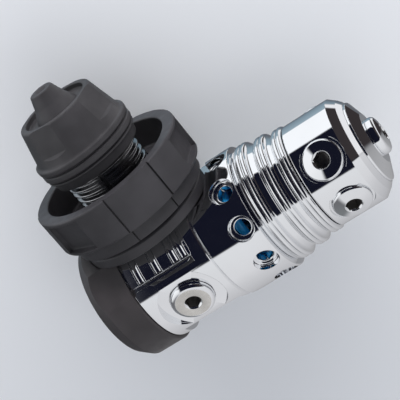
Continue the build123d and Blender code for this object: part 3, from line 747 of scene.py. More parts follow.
class FIRSTSTAGE_OT_barrel(Operator):
    """Turn the chromed body, mill its cooling fins, ports and scoop, and drill its water holes"""
    bl_idname = "first_stage.barrel"
    bl_label = "Main Body"

    def execute(self, context):
        sizes = context.scene.first_stage_body
        radius, edge = sizes.barrel_r / MM, sizes.edge / MM
        barrel = lathe("barrel", rounded(
            (PLUG_BORE_R, BODY_BACK, 0.2), (SEAT_R, BODY_BACK, 0.4), (SEAT_R, BUMPER_FRONT),
            (radius, BUMPER_FRONT, edge), (radius, SEAM_AT - SEAM_WIDTH / 2, 0.12),
            (radius - SEAM_DEPTH, SEAM_AT, 0.08),
            (radius, SEAM_AT + SEAM_WIDTH / 2, 0.12), (radius, BODY_FRONT, edge), (SPIGOT_R, BODY_FRONT),
            (SPIGOT_R, SPIGOT_END), (SPIGOT_BORE_R, SPIGOT_END), (SPIGOT_BORE_R, BODY_FRONT),
            (AMBIENT_R, BODY_FRONT), (AMBIENT_R, AMBIENT_START), (POCKET_R, AMBIENT_START),
            (POCKET_R, POCKET_START), (STEM_BORE_R, POCKET_START), (STEM_BORE_R, CHAMBER_END),
            (CHAMBER_R, CHAMBER_END), (CHAMBER_R, PLUG_BORE_END), (PLUG_BORE_R, PLUG_BORE_END)), along_x())
        carve(barrel, cylinder(INLET_FLAT_R, INLET_FLAT, radius + 2, along_y()), scoop_tool(),
              cylinder(INLET_BORE_R, 0, radius, along_y()))
        for side in (1, -1):
            carve(barrel, *fin_tools(side))
        head_r = context.scene.first_stage_plugs.side_head_r / MM
        for angle in HIGH_ANGLES.values():
            steps = ((HIGH_THREAD_R, CHAMBER_R / 2 - HIGH_SEAT), (head_r + 0.15, 0),
                     (HIGH_SPOT_R, HIGH_SPOT_UP))
            carve(barrel, stepped_bore(steps, radius, radial(HIGH_AT, angle, HIGH_SEAT)))
        for count in range(WATER_HOLES):
            hole = lathe("tool", rounded(
                (0, AMBIENT_R - 2), (HOLE_R, AMBIENT_R - 2), (HOLE_R, radius - HOLE_RIM_DEPTH, 0.35),
                (HOLE_RIM_R, radius - HOLE_RIM_DEPTH, 0.5), (HOLE_RIM_R, radius + 2), (0, radius + 2)),
                radial(HOLE_AT, count * 360 / WATER_HOLES), FEWER_SEGMENTS)
            carve(barrel, hole)
        smooth(barrel)
        finished(barrel, "barrel", "regulator_body", "chromed_brass", "main_body")
        return {"FINISHED"}


def ridged_outline():
    """Outer side of the body cap, back to front: double beads with hollowed feet, each pair a step lower."""
    first, last = RIDGES[0][0], RIDGES[-1][0]
    flank = BEAD_SPACING / 2
    valleys = [VALLEY_START_R + (VALLEY_END_R - VALLEY_START_R) * (station - first) / (last - first)
               for station, radius in RIDGES]
    meet = acos(flank / BEAD_R)
    outer = [(VALLEY_START_R - 0.4, BODY_FRONT + 0.05), (VALLEY_START_R, BODY_FRONT + 0.45)]
    for (station, radius), before, after in zip(RIDGES, valleys, valleys[1:] + valleys[-1:]):
        base = radius - BEAD_R
        after += VALLEY_FALL
        feet = [max(base, valley + 0.8 * BEAD_COVE) for valley in (before, after)]
        turns = [asin((foot - base) / BEAD_R) for foot in feet]
        for share in (0.0, 0.25, 0.5, 0.75, 1.0):
            hollow = flank + BEAD_R + BEAD_COVE * (1 - share)
            outer.append((before + (feet[0] - before) * share ** 2, station - hollow))
        for side, angle_from, angle_to in ((-1, pi - turns[0], meet), (1, pi - meet, turns[1])):
            for step in range(13):
                angle = angle_from + (angle_to - angle_from) * step / 12
                outer.append((base + BEAD_R * sin(angle), station + side * flank + BEAD_R * cos(angle)))
        if station != last:
            for share in (0.75, 0.5, 0.25, 0.0):
                hollow = flank + BEAD_R + BEAD_COVE * (1 - share)
                outer.append((after + (feet[1] - after) * share ** 2, station + hollow))
    outer += [(CAP_END_R - 0.2, CAP_FRONT - 0.1), (CAP_END_R - 0.4, CAP_FRONT)]
    return outer


class FIRSTSTAGE_OT_ridged_cap(Operator):
    """Turn the ridged cap that closes the piston's cylinder and carries the turret"""
    bl_idname = "first_stage.ridged_cap"
    bl_label = "Ridged Cap"

    def execute(self, context):
        inner = [(BOLT_HOLE_R, CAP_FRONT), (BOLT_HOLE_R, CAP_WALL_BACK), (CAP_BORE_R, CAP_WALL_BACK),
                 (CAP_BORE_R, SPIGOT_END + FIT), (SPIGOT_R + FIT, SPIGOT_END + FIT),
                 (SPIGOT_R + FIT, BODY_FRONT + 0.05)]
        cap = lathe("ridged_cap", ridged_outline() + inner, along_x())
        smooth(cap, 40)
        finished(cap, "ridged_cap", "regulator_body", "chromed_brass", "body_cap")
        return {"FINISHED"}


# ================================================================ turret
class FIRSTSTAGE_OT_turret(Operator):
    """Turn the swivelling turret with its four spot faces, and the cap screwed into its end"""
    bl_idname = "first_stage.turret"
    bl_label = "Turret"

    def execute(self, context):
        sizes = context.scene.first_stage_turret
        radius, edge = sizes.turret_r / MM, sizes.edge / MM
        turret = lathe("turret_shell", rounded(
            (BOLT_BORE_R, TURRET_BACK), (radius, TURRET_BACK, 0.45), (radius, TURRET_EDGE, edge),
            (SHOULDER_R, SHOULDER, 0.15), (LIP_R, LIP, 0.1), (END_THREAD_R + FIT, LIP),
            (END_THREAD_R + FIT, END_THREAD_BACK), (TURRET_BORE_R, END_THREAD_BACK),
            (TURRET_BORE_R, BOLT_SEAT),
            (BOLT_BORE_R, BOLT_SEAT)), along_x())
        for angle in LOW_ANGLES:
            carve(turret, stepped_bore(((LOW_THREAD_R, -LOW_SHANK), (LOW_SPOT_R, 0)), radius,
                                       radial(PORT_ROW, angle, LOW_SEAT)))
        smooth(turret)
        finished(turret, "turret_shell", "turret", "chromed_brass", "swivel_turret")
        cone = lathe("turret_cone", rounded(
            (LOW_THREAD_R, END_THREAD_BACK + 0.2), (END_THREAD_R, END_THREAD_BACK + 0.2),
            (END_THREAD_R, LIP + FIT),
            (END_CAP_R, LIP + FIT), (END_CAP_R, END_CAP_EDGE, 0.15), (END_FACE_R, END_FACE, 0.5),
            (LOW_THREAD_R, END_FACE)), along_x())
        smooth(cone)
        finished(cone, "turret_cone", "turret", "chromed_brass", "turret_end_cap")
        return {"FINISHED"}


# ================================================================ plugs
def plug(name, head_r, head_h, thread_r, shank, rounding, crown, placed):
    """Port plug with a crowned, rounded head, a countersunk hexagon socket and a threaded shank."""
    mouth_r = SOCKET / 2 / cos(pi / 6) - 0.2
    head = lathe(name, rounded(
        (0, -shank + 0.05), (thread_r - 0.1, -shank + 0.05, 0.5), (thread_r - 0.1, 0), (head_r, 0, 0.15),
        (head_r, head_h - crown, rounding), (mouth_r + 0.35, head_h, 0.15),
        (SOCKET / 2, head_h - COUNTERSINK),
        (0, head_h - COUNTERSINK)), AS_MADE, 128)
    floor = head_h - SOCKET_DEPTH
    drill = lathe("tool", [(0, floor - 0.9), (SOCKET_DRILL_R, floor), (SOCKET_DRILL_R, head_h), (0, head_h)],
                  AS_MADE, FEWER_SEGMENTS)
    carve(head, prism(6, SOCKET, floor, head_h + 1, AS_MADE), drill)
    smooth(head)
    head.data.materials.append(material("chromed_brass"))
    head.data.materials.append(material("socket"))
    # Faces inside the hexagon socket take the socket finish: a duller bore, with painted shade darkening the
    # recess
    for face in head.data.polygons:
        middle = face.center / MM
        if hypot(middle.x, middle.y) < SOCKET * 0.58 and floor - 1 < middle.z < head_h - 0.4:
            face.material_index = 1
    settle(head, placed)
    return head


class FIRSTSTAGE_OT_plugs(Operator):
    """Turn the plugs of the turret's hose ports, the domed end plug and the two side plugs"""
    bl_idname = "first_stage.plugs"
    bl_label = "Port Plugs"

    def execute(self, context):
        sizes = context.scene.first_stage_plugs
        model = plug("model", sizes.low_head_r / MM, sizes.low_head_h / MM, LOW_THREAD_R, LOW_SHANK, 0.8, 1.0,
                     AS_MADE)
        for number, angle in enumerate(LOW_ANGLES, 1):
            copy = copied(model, f"hose_port_plug_{number}", radial(PORT_ROW, angle, LOW_SEAT))
            finished(copy, copy.name, "turret", "chromed_brass", f"turret_plug_{number}")
        bpy.data.objects.remove(model)
        end = plug("end_port_plug", sizes.end_head_r / MM, sizes.end_head_h / MM, LOW_THREAD_R, 5.0, 1.4, 0.7,
                   along_x() @ Matrix.Translation((0, 0, END_FACE * MM)))
        finished(end, "end_port_plug", "turret", "chromed_brass", "end_plug")
        head_h = sizes.side_head_h / MM
        model = plug("model", sizes.side_head_r / MM, head_h, HIGH_THREAD_R, HIGH_SHANK, 1.25, 0.0, AS_MADE)
        model.data.materials.append(material("satin_chrome"))
        for face in model.data.polygons:
            middle = face.center / MM
            if middle.z > head_h - 0.02 and hypot(middle.x, middle.y) > SOCKET / 2:
                face.material_index = 2
        for side, angle in HIGH_ANGLES.items():
            copy = copied(model, f"side_port_plug_{side}", radial(HIGH_AT, angle, HIGH_SEAT))
            finished(copy, copy.name, "regulator_body", "satin_chrome", f"side_plug_{side}")
        bpy.data.objects.remove(model)
        return {"FINISHED"}


# ================================================================ closed end
class FIRSTSTAGE_OT_bumper(Operator):
    """Turn the plastic bumper on the closed end, plane its facets, and make the seat plug inside it"""
    bl_idname = "first_stage.bumper"
    bl_label = "End Bumper"

    def execute(self, context):
        radius = context.scene.first_stage_bumper.bumper_r / MM
        cup = lathe("bumper_cup", rounded(
            (SEAT_R + FIT, BUMPER_FRONT), (radius, BUMPER_FRONT, 0.5), (radius, BUMPER_BEVEL_AT, 0.6),
            (BUMPER_BACK_R, BUMPER_BACK, 0.8), (BUMPER_MOUTH_R, BUMPER_BACK, 0.6),
            (BUMPER_MOUTH_R, BODY_BACK - FIT),
            (SEAT_R + FIT, BODY_BACK - FIT)), along_x())
        for facet_from, facet_to in BUMPER_FACETS:
            middle = (facet_from + facet_to) / 2
            chord = radius * cos(radians(facet_to - middle))
            for side in (1, -1):
                carve(cup, block((-60, -40, chord), (60, 40, radius + 5), radial(0, side * middle)))
        insulator_r = context.scene.first_stage_coupling.insulator_r / MM
        wheel_r = context.scene.first_stage_coupling.wheel_r / MM
        carve(cup, cylinder(insulator_r + 0.2, INLET_FLAT, radius + 3, along_y(), SEGMENTS),
              cylinder(wheel_r, INSULATOR_TOP, radius + 3, along_y(), SEGMENTS))
        smooth(cup, 20)
        finished(cup, "bumper_cup", "regulator_body", "bumper_plastic", "end_bumper")

        plug_r = PLUG_BORE_R - FIT
        groove_r, groove_from, groove_to = SEAT_PLUG_GROOVE
        nose_r, nose_end = SEAT_PLUG_NOSE
        pocket_r, pocket_floor = SEAT_POCKET
        inner = lathe("seat_key_plug", rounded(
            (0, SEAT_PLUG_BACK), (plug_r, SEAT_PLUG_BACK, 0.6), (plug_r, groove_from),
            (groove_r, groove_from),
            (groove_r, groove_to), (plug_r, groove_to), (plug_r, SEAT_PLUG_SHOULDER),
            (nose_r, SEAT_PLUG_SHOULDER),
            (nose_r, nose_end), (pocket_r, nose_end), (pocket_r, pocket_floor),
            (0, pocket_floor)), along_x(), 128)
        carve(inner, prism(6, SEAT_PLUG_SOCKET, SEAT_PLUG_BACK - 1, SEAT_PLUG_BACK + SEAT_PLUG_SOCKET_DEPTH,
                           along_x()))
        smooth(inner)
        finished(inner, "seat_key_plug", "regulator_body", "chromed_brass", "seat_plug")
        return {"FINISHED"}


# ================================================================ connector
def cut_thread(obj, crest):
    """Push the fine rings of a sleeve in to the thread's round-bottomed groove, which climbs as it turns."""
    root = crest - THREAD_DEPTH
    for vertex in obj.data.vertices:
        radius = hypot(vertex.co.x, vertex.co.y) / MM
        station = vertex.co.z / MM
        if radius < crest - 0.01 or not THREAD_START < station < THREAD_END:
            continue
        turn = atan2(vertex.co.y, vertex.co.x) / tau
        phase = (station / THREAD_PITCH + turn) % 1.0
        flank = min(1.0, max(0.0, 0.5 - 0.6 * cos(tau * phase)))
        fade = min(1.0, (station - THREAD_START) / THREAD_PITCH)
        wanted = crest - THREAD_DEPTH * (1.0 - flank) * fade
        wanted = min(wanted, root + max(0.0, THREAD_END - 0.15 - station) * 1.1)
        wanted = max(wanted, root)
        vertex.co.x *= wanted / radius
        vertex.co.y *= wanted / radius
    obj.data.update()


class FIRSTSTAGE_OT_connector(Operator):
    """Make the cylinder connector's threaded sleeve, the nose it holds and the ring under the handwheel"""
    bl_idname = "first_stage.connector"
    bl_label = "Cylinder Connector"

    def execute(self, context):
        sizes = context.scene.first_stage_coupling
        crest = sizes.thread_r / MM
        steps = int((THREAD_END - THREAD_START) / THREAD_STEP) + 1
        outline = [(RETAINER_R, NUT_BOTTOM), (THREAD_RELIEF_R, NUT_BOTTOM),
                   (THREAD_RELIEF_R, THREAD_START - 0.05)]
        outline += [(crest, THREAD_START + THREAD_STEP * step) for step in range(steps)]
        outline += [(RETAINER_HEAD_R, THREAD_END), (RETAINER_HEAD_R, RETAINER_HEAD_FROM),
                    (RETAINER_R, RETAINER_HEAD_FROM)]
        sleeve = lathe("threaded_sleeve", outline, AS_MADE, 192)
        cut_thread(sleeve, crest)
        carve(sleeve, block((crest - THREAD_DEPTH - 0.1, -VENT_WIDTH / 2, THREAD_START - 1),
                            (crest + 1, VENT_WIDTH / 2, THREAD_END + 1), about_z(-VENT_ANGLE)))
        carve(sleeve, prism(6, NUT_HEX, NUT_BOTTOM, NUT_HEX_TOP, AS_MADE), operation="UNION")
        carve(sleeve, cylinder(RETAINER_R, NUT_BOTTOM - 1, RETAINER_HEAD_FROM + 1, AS_MADE, 128))
        settle(sleeve, along_y())
        only(sleeve)
        bpy.ops.object.shade_smooth_by_angle(angle=radians(75))
        finished(sleeve, "threaded_sleeve", "coupling", "dark_plated_brass", "coupling_nut")

        head_r, head_from = RETAINER_HEAD_R - 0.05, RETAINER_HEAD_FROM + 0.05
        clip_r, clip_from, clip_to = CLIP_GROOVE
        seal_inner, seal_outer, seal_floor = SEAL_GROOVE
        nose = lathe("connector_nose", rounded(
            (NOSE_PASSAGE_R, NOSE_BACK), (NOSE_R, NOSE_BACK, 0.5), (NOSE_R, head_from),
            (head_r, head_from, 0.3),
            (head_r, NOSE_END, 0.4), (seal_outer, NOSE_END, 0.1), (seal_outer, seal_floor),
            (seal_inner, seal_floor),
            (seal_inner, NOSE_END, 0.1), (FILTER_BORE_R, NOSE_END, 0.15), (FILTER_BORE_R, clip_to),
            (clip_r, clip_to),
            (clip_r, clip_from), (FILTER_BORE_R, clip_from), (FILTER_BORE_R, FILTER_SEAT),
            (NOSE_PASSAGE_R, FILTER_SEAT)), along_y(), 128)
        smooth(nose)
        finished(nose, "connector_nose", "regulator_body", "chromed_brass", "din_retainer")

        spacer_r = sizes.insulator_r / MM
        spacer = lathe("spacer_ring", rounded(
            (6.6, INSULATOR_BOTTOM), (spacer_r, INSULATOR_BOTTOM, 0.5), (spacer_r, 18.3, 0.5),
            (spacer_r - 0.8, INSULATOR_TOP, 0.3), (6.6, INSULATOR_TOP)), along_y())
        smooth(spacer)
        finished(spacer, "spacer_ring", "regulator_body", "black_plastic", "insulating_ring")
        return {"FINISHED"}


# ================================================================ handwheel
def wheel_grip_tool(radius):
    """Tool for one recessed grip: a wide pocket with sloping ends, closed above and below by lips."""
    width = 2 * radius * sin(radians(GRIP_HALF_ANGLE))
    low, high = WHEEL_TIER + GRIP_LIP, WHEEL_TOP - GRIP_LIP
    tool = block((radius - GRIP_DEPTH, -width / 2, low), (radius + 4, width / 2, high))
    pick(tool, lambda place: abs(place.x - (radius - GRIP_DEPTH)) < 0.01)
    bevelled(0.5 * GRIP_DEPTH, 2)
    return tool


def wheel_pad_tool(radius):
    """Tool for one shallow panel between two grips."""
    outside = ring(radius - PAD_DEPTH, radius + 2, WHEEL_TIER - 1, WHEEL_TOP + 1, AS_MADE)
    wedge = prism(4, 60, WHEEL_TIER - 2, WHEEL_TOP + 2, AS_MADE)
    for side in (1, -1):
        mirrored = Matrix.Scale(side, 4, (0, 1, 0))
        cut = block((-100, 0, 0), (100, 100, 80), about_z(side * PAD_HALF_ANGLE) @ mirrored)
        clean(cut)
        carve(wedge, cut)
    carve(wedge, block((-100, -100, 0), (0, 100, 80)))
    return carve(outside, wedge, operation="INTERSECT")


class FIRSTSTAGE_OT_handwheel(Operator):
    """Mould the handwheel: two tiers, three recessed grips, and shallow panels between parting lines"""
    bl_idname = "first_stage.handwheel"
    bl_label = "Handwheel"

    def execute(self, context):
        sizes = context.scene.first_stage_coupling
        radius, thread_r = sizes.wheel_r / MM, sizes.thread_r / MM
        wheel = lathe("wheel", rounded(
            (thread_r + FIT, NUT_HEX_TOP), (WHEEL_TIER_R - 1, NUT_HEX_TOP),
            (WHEEL_TIER_R - 1, NUT_BOTTOM, 0.2),
            (WHEEL_TIER_R, NUT_BOTTOM, 0.4), (WHEEL_TIER_R, WHEEL_TIER, 0.3), (radius, WHEEL_TIER, 0.7),
            (radius, WHEEL_TOP, 0.55), (WHEEL_CAVITY_R, WHEEL_TOP, 0.4), (WHEEL_CAVITY_R, WHEEL_FLOOR, 0.8),
            (thread_r + FIT, WHEEL_FLOOR)), AS_MADE)
        for count in range(WHEEL_LOBES):
            turned = -(WHEEL_TURNED + count * 360 / WHEEL_LOBES)
            grip = wheel_grip_tool(radius)
            settle(grip, about_z(turned))
            pad_turn = turned - 180 / WHEEL_LOBES
            pad = wheel_pad_tool(radius)
            settle(pad, about_z(pad_turn))
            carve(wheel, grip, pad)
            for side in (1, -1):
                line = about_z(pad_turn + side * PAD_HALF_ANGLE)
                carve(wheel, block((radius - PARTING_DEPTH - PAD_DEPTH, -PARTING_WIDTH / 2, WHEEL_TIER - 1),
                                   (radius + 1, PARTING_WIDTH / 2, WHEEL_TOP + 1), line),
                      block((WHEEL_TIER_R - PARTING_DEPTH, -PARTING_WIDTH / 2, NUT_BOTTOM - 1),
                            (WHEEL_TIER_R + 1, PARTING_WIDTH / 2, WHEEL_TIER + 0.5), line))
        settle(wheel, along_y())
        smooth(wheel)
        finished(wheel, "wheel", "coupling", "black_plastic", "handwheel")
        return {"FINISHED"}


# ================================================================ dust cap
class FIRSTSTAGE_OT_dust_cap(Operator):
    """Mould the dust cap: beaded skirt, four side panels, and a pull nub in its dish"""
    bl_idname = "first_stage.dust_cap"
    bl_label = "Dust Cap"

    def execute(self, context):
        bead = context.scene.first_stage_cap.bead_r / MM - DUST_NECK_R
        dish = DUST_TOP - DUST_DISH_DEPTH
        middle = (dish + NUB_TOP) / 2
        outer = [(DUST_SKIRT_R, DUST_BOTTOM, 0.3)]
        for low, high, proud, rounding in DUST_BANDS:
            foot_r, top_r = DUST_NECK_R + (proud - DUST_BAND_FOOT) * bead, DUST_NECK_R + proud * bead
            outer += [(foot_r, low, 0.06), (top_r, low + 0.25, rounding), (top_r, high - 0.25, rounding),
                      (foot_r, high, 0.06)]
        outer += [(DUST_NECK_R, DUST_NECK + 0.1), (DUST_TOP_R, DUST_TOP, 0.8), (DUST_DISH_R, DUST_TOP, 0.3),
                  (DUST_DISH_R, dish, 0.4), (NUB_BASE_R, dish, 0.5), (NUB_WAIST_R, middle, 4.0),
                  (NUB_TOP_R, NUB_TOP, 0.5),
                  (NUB_TOP_R * 0.55, NUB_TOP, 0.3), (NUB_TOP_R * 0.3, NUB_TOP - 0.7, 0.4), (0, NUB_TOP - 0.7)]
        collar_r, mouth_r = RETAINER_HEAD_R + 0.05, DUST_SKIRT_R - 0.95
        inner = [(0, DUST_ROOF), (collar_r, DUST_ROOF, 0.5), (collar_r, THREAD_END + 0.2, 0.2),
                 (mouth_r, THREAD_END + 0.2, 0.4), (mouth_r, DUST_BOTTOM, 0.3)]
        shell = lathe("protective_cap", rounded(*(inner + outer)), AS_MADE)
        lean = (DUST_NECK_R - DUST_TOP_R) / (DUST_TOP - DUST_NECK)
        for count in range(DUST_PANELS):
            panel = block((DUST_NECK_R - DUST_PANEL_DEPTH, -DUST_PANEL_HALF_WIDTH, DUST_PANEL_FROM),
                          (DUST_NECK_R + 4, DUST_PANEL_HALF_WIDTH, DUST_TOP + 3))
            for vertex in panel.data.vertices:
                if vertex.co.x > DUST_NECK_R * MM and vertex.co.z < (DUST_PANEL_FROM + 1) * MM:
                    vertex.co.z -= DUST_RAMP * (4 + DUST_PANEL_DEPTH) / DUST_PANEL_DEPTH * MM
            foot = Vector((DUST_NECK_R - DUST_PANEL_DEPTH, 0, DUST_PANEL_FROM)) * MM
            at_foot = Matrix.Translation(foot)
            tilt = at_foot @ Matrix.Rotation(-atan2(lean, 1), 4, "Y") @ at_foot.inverted()
            settle(panel, about_z(-(DUST_TURNED + count * 360 / DUST_PANELS)) @ tilt)
            carve(shell, panel)
        settle(shell, along_y())
        smooth(shell)
        finished(shell, "protective_cap", "cap", "dust_cap_plastic", "dust_cap")
        return {"FINISHED"}


# ================================================================ inner pieces
class FIRSTSTAGE_OT_inner_pieces(Operator):
    """Give their finishes to the piston, the seals and the other inner pieces, which keep their solids"""
    bl_idname = "first_stage.inner_pieces"
    bl_label = "Inner Pieces"

    def execute(self, context):
        slots = {part["node"]: part["material_slot"] for part in frame["record"]["subparts"]}
        for node, obj in frame["nodes"].items():
            obj.data.materials.clear()
            obj.data.materials.append(material(slots[node]))
        return {"FINISHED"}


class FIRSTSTAGE_OT_main_spring(Operator):
    """Give a merged, smoothed copy of the main spring its blue coating, riding on the regulator body"""
    bl_idname = "first_stage.main_spring"
    bl_label = "Main Spring"

    def execute(self, context):
        spring = bpy.data.objects.new("coil_spring", frame["nodes"]["main_spring"].data.copy())
        context.collection.objects.link(spring)
        spring.data.materials.clear()
        clean(spring)
        smooth(spring)
        finished(spring, "coil_spring", "regulator_body", "blue_coated_steel", "main_spring")
        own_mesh(spring)
        return {"FINISHED"}


# ================================================================ stage
CAMERA_FROM = Vector((0.29, 0.365, 0.88469))     # from the target towards the camera
CAMERA_DISTANCE = 380.0
CAMERA_TARGET = Vector((20, 10, 0))
CAMERA_ROLL = 182.8
CAMERA_LENS = 3.46 * 36
CAMERA_SHIFT = (-0.0458, -0.011)

# What polished metal reflects: colours by angle round the body's axis, from +Y towards +Z. A lean and its
# span say where a light or dark area lies: its share rises as the direction's dot product with the lean
# goes through the span.
WHITE_SWEEP = (1.05, 1.07, 1.10)
DARK_ROOM = (0.007, 0.008, 0.017)
BLUE_GREY = (0.33, 0.43, 0.50)
SIDE_LIGHT = (0.80, 0.81, 0.83)
SIDE_FADE = (0.38, 0.38, 0.39)
ROUND_THE_BODY = (
    (-179, (0.62, 0.62, 0.64)), (-145, (0.50, 0.50, 0.52)), (-124, SIDE_FADE), (-104, (0.12, 0.13, 0.15)),
    (-80, (0.22, 0.30, 0.36)), (-56, BLUE_GREY), (-54, WHITE_SWEEP), (0, WHITE_SWEEP), (2, DARK_ROOM),
    (94, DARK_ROOM), (96, SIDE_LIGHT), (150, (0.74, 0.74, 0.76)), (179, (0.62, 0.62, 0.64)),
)
PAST_THE_BUMPER = (
    (-179, (0.20, 0.21, 0.22)), (-110, (0.10, 0.11, 0.12)), (-60, (0.45, 0.52, 0.58)), (-20, WHITE_SWEEP),
    (60, (0.95, 0.96, 0.98)), (100, (0.80, 0.81, 0.83)), (130, (0.16, 0.16, 0.17)), (179, (0.20, 0.21, 0.22)),
)
PAST_BUMPER_FROM = (-0.36, -0.50)     # part of the direction along X where that takes over
DARK_END = (0.040, 0.034, 0.036)      # past the turret, on the connector's side
DARK_END_LIMITS = (((1.0, 0.0, -0.35), (0.55, 0.62)), ((0.0, 1.0, -0.26), (-0.17, -0.10)))
END_LIGHT = (0.90, 0.90, 0.92)        # strip light across the dark end
END_LIGHT_LIMITS = (((1.0, -1.0, -1.0), (0.84, 0.90)), ((1.0, -1.0, -1.0), (1.42, 1.36)))
WORLD_LIGHT = (0.48, 0.50, 0.54)
SOFTBOX_DISTANCE = 0.6
SOFTBOXES = (
    ("upper_softbox", (0.5, 1.0, 0.15), (0.7, 0.35), 8.0),
    ("lower_softbox", (0.1, -0.75, 0.9), (0.9, 0.55), 0.9),
)


def camera_axes():
    """Right, up and backward directions of the camera."""
    back = CAMERA_FROM.normalized()
    up = (Vector((0, 0, 1)) - back * back.z).normalized()
    right = up.cross(back)
    roll = radians(CAMERA_ROLL)
    return cos(roll) * right + sin(roll) * up, cos(roll) * up - sin(roll) * right, back


def softbox(name, direction, distance, size, power):
    """Rectangular lamp that faces the object from a direction; reflections of it are in the studio world."""
    middle = AXES_MEET + Vector((20, 10, 0)) * MM
    direction = Vector(direction).normalized()
    bpy.ops.object.select_all(action="DESELECT")
    bpy.ops.object.light_add(type="AREA", location=middle + direction * distance)
    lamp = bpy.context.object
    lamp.name = name
    lamp.rotation_euler = direction.to_track_quat("Z", "Y").to_euler()
    lamp.data.shape = "RECTANGLE"
    lamp.data.size, lamp.data.size_y = size
    lamp.data.energy = power
    lamp.visible_glossy = False
    return lamp


def eased(nodes, links, value, low, high):
    """Share that rises smoothly from nought to one as a value goes from low to high."""
    step = nodes.new("ShaderNodeMapRange")
    step.interpolation_type = "SMOOTHSTEP"
    step.inputs["From Min"].default_value = low
    step.inputs["From Max"].default_value = high
    links.new(value, step.inputs["Value"])
    return step.outputs["Result"]


def mixed(nodes, links, share, base, over):
    """One colour laid over another by a share; either may be a socket or a plain colour."""
    mix = nodes.new("ShaderNodeMixRGB")
    links.new(share, mix.inputs["Fac"])
    for value, name in ((base, "Color1"), (over, "Color2")):
        if isinstance(value, tuple):
            mix.inputs[name].default_value = (*value, 1)
        else:
            links.new(value, mix.inputs[name])
    return mix.outputs["Color"]


def product(nodes, links, *shares):
    """Two shares multiplied."""
    both = nodes.new("ShaderNodeMath")
    both.operation = "MULTIPLY"
    for share, socket in zip(shares, both.inputs):
        links.new(share, socket)
    return both.outputs["Value"]


def within(nodes, links, towards, limits):
    """Share of a direction that lies within two limits, each a lean and its span."""
    shares = []
    for lean, span in limits:
        along = nodes.new("ShaderNodeVectorMath")
        along.operation = "DOT_PRODUCT"
        along.inputs[1].default_value = lean
        links.new(towards, along.inputs[0])
        shares.append(eased(nodes, links, along.outputs["Value"], *span))
    return product(nodes, links, *shares)


def studio_world(scene):
    """Even pale light, with the studio's white sweep, dark room and big side light kept for reflections."""
    world = scene.world or bpy.data.worlds.new("studio")
    scene.world = world
    world.use_nodes = True
    nodes, links = world.node_tree.nodes, world.node_tree.links
    towards = nodes.new("ShaderNodeTexCoord").outputs["Generated"]
    direction = nodes.new("ShaderNodeSeparateXYZ")
    links.new(towards, direction.inputs["Vector"])
    angle = nodes.new("ShaderNodeMath")
    angle.operation = "ARCTAN2"
    links.new(direction.outputs["Z"], angle.inputs[0])
    links.new(direction.outputs["Y"], angle.inputs[1])
    turn = nodes.new("ShaderNodeMapRange")
    turn.inputs["From Min"].default_value = -pi
    turn.inputs["From Max"].default_value = pi
    links.new(angle.outputs["Value"], turn.inputs["Value"])
    rings = []
    for stops in (ROUND_THE_BODY, PAST_THE_BUMPER):
        ramp = colour_ramp(nodes, stops, 360.0, 180.0)
        links.new(turn.outputs["Result"], ramp.inputs["Fac"])
        rings.append(ramp.outputs["Color"])
    past = eased(nodes, links, direction.outputs["X"], *PAST_BUMPER_FROM)
    room = mixed(nodes, links, past, *rings)
    end = within(nodes, links, towards, DARK_END_LIMITS)
    strip = within(nodes, links, towards, END_LIGHT_LIMITS)
    room = mixed(nodes, links, end, room, DARK_END)
    room = mixed(nodes, links, product(nodes, links, end, strip), room, END_LIGHT)
    mirrored = nodes.new("ShaderNodeLightPath").outputs["Is Glossy Ray"]
    links.new(mixed(nodes, links, mirrored, WORLD_LIGHT, room), nodes["Background"].inputs["Color"])


def colour_ramp(nodes, stops, span, zero):
    """Ramp through (angle, colour) stops, where zero degrees lies so many degrees into the span."""
    ramp = nodes.new("ShaderNodeValToRGB")
    elements = ramp.color_ramp.elements
    while len(elements) < len(stops):
        elements.new(0.5)
    for element, (degrees_round, tone) in zip(elements, stops):
        element.position = (degrees_round + zero) / span
        element.color = (*tone, 1)
    return ramp


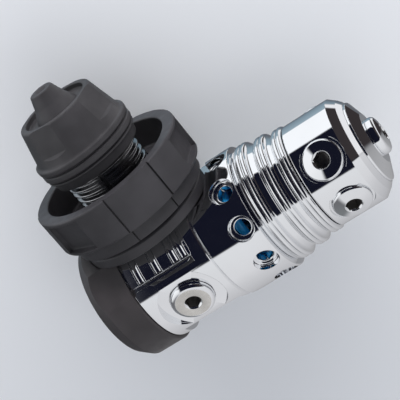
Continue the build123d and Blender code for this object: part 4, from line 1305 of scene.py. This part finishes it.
class FIRSTSTAGE_OT_stage(Operator):
    """Set up the floor, the soft studio light and the camera"""
    bl_idname = "first_stage.stage"
    bl_label = "Stage"

    def execute(self, context):
        scene = context.scene
        colours = scene.first_stage_finish
        scene.view_settings.view_transform = "Standard"
        low = Vector(FRAME_BOX[0])
        bpy.ops.object.select_all(action="DESELECT")
        bpy.ops.mesh.primitive_plane_add(size=6, location=(0, 0, low.z - 0.0005))
        floor = context.object
        floor.name = "studio_floor"
        paint = Finish("studio_floor", colours.floor, 0.6)
        paint.mottle(paint.noise(0.002), 0.99, 1.01)
        floor.data.materials.append(paint.material)
        floor.visible_glossy = False

        studio_world(scene)
        for name, direction, size, power in SOFTBOXES:
            softbox(name, direction, SOFTBOX_DISTANCE, size, power)

        right, up, back = camera_axes()
        target = AXES_MEET + CAMERA_TARGET * MM
        bpy.ops.object.select_all(action="DESELECT")
        bpy.ops.object.camera_add()
        camera = context.object
        camera.name = "camera"
        camera.matrix_world = Matrix.Translation(target + back * CAMERA_DISTANCE * MM) @ Matrix(
            (right, up, back)).transposed().to_4x4()
        camera.data.sensor_width = 36
        camera.data.lens = CAMERA_LENS
        camera.data.shift_x, camera.data.shift_y = CAMERA_SHIFT
        camera.data.clip_start = 0.01
        camera.data.clip_end = 20
        scene.camera = camera
        return {"FINISHED"}


# ================================================================ add-on
OPERATORS = (
    FIRSTSTAGE_OT_inner_pieces, FIRSTSTAGE_OT_main_spring, FIRSTSTAGE_OT_barrel, FIRSTSTAGE_OT_ridged_cap,
    FIRSTSTAGE_OT_turret, FIRSTSTAGE_OT_plugs, FIRSTSTAGE_OT_bumper, FIRSTSTAGE_OT_connector,
    FIRSTSTAGE_OT_handwheel, FIRSTSTAGE_OT_dust_cap, FIRSTSTAGE_OT_stage,
)


class VIEW3D_PT_first_stage(Panel):
    """Lists the pieces' operators and their settings"""
    bl_label = "First Stage"
    bl_space_type = "VIEW_3D"
    bl_region_type = "UI"
    bl_category = "First Stage"

    def draw(self, context):
        for name, group in SETTINGS.items():
            box = self.layout.box()
            for setting in group.__annotations__:
                box.prop(getattr(context.scene, name), setting)
        for operator in OPERATORS:
            self.layout.operator(operator.bl_idname)


def register():
    for group in SETTINGS.values():
        bpy.utils.register_class(group)
    for name, group in SETTINGS.items():
        setattr(bpy.types.Scene, name, PointerProperty(type=group))
    for operator in OPERATORS:
        bpy.utils.register_class(operator)
    bpy.utils.register_class(VIEW3D_PT_first_stage)


def unregister():
    bpy.utils.unregister_class(VIEW3D_PT_first_stage)
    for operator in reversed(OPERATORS):
        bpy.utils.unregister_class(operator)
    for name, group in SETTINGS.items():
        delattr(bpy.types.Scene, name)
        bpy.utils.unregister_class(group)


def main():
    register()
    for operator in OPERATORS:
        group, name = operator.bl_idname.split(".")
        getattr(getattr(bpy.ops, group), name)()


if __name__ == "__main__":
    main()
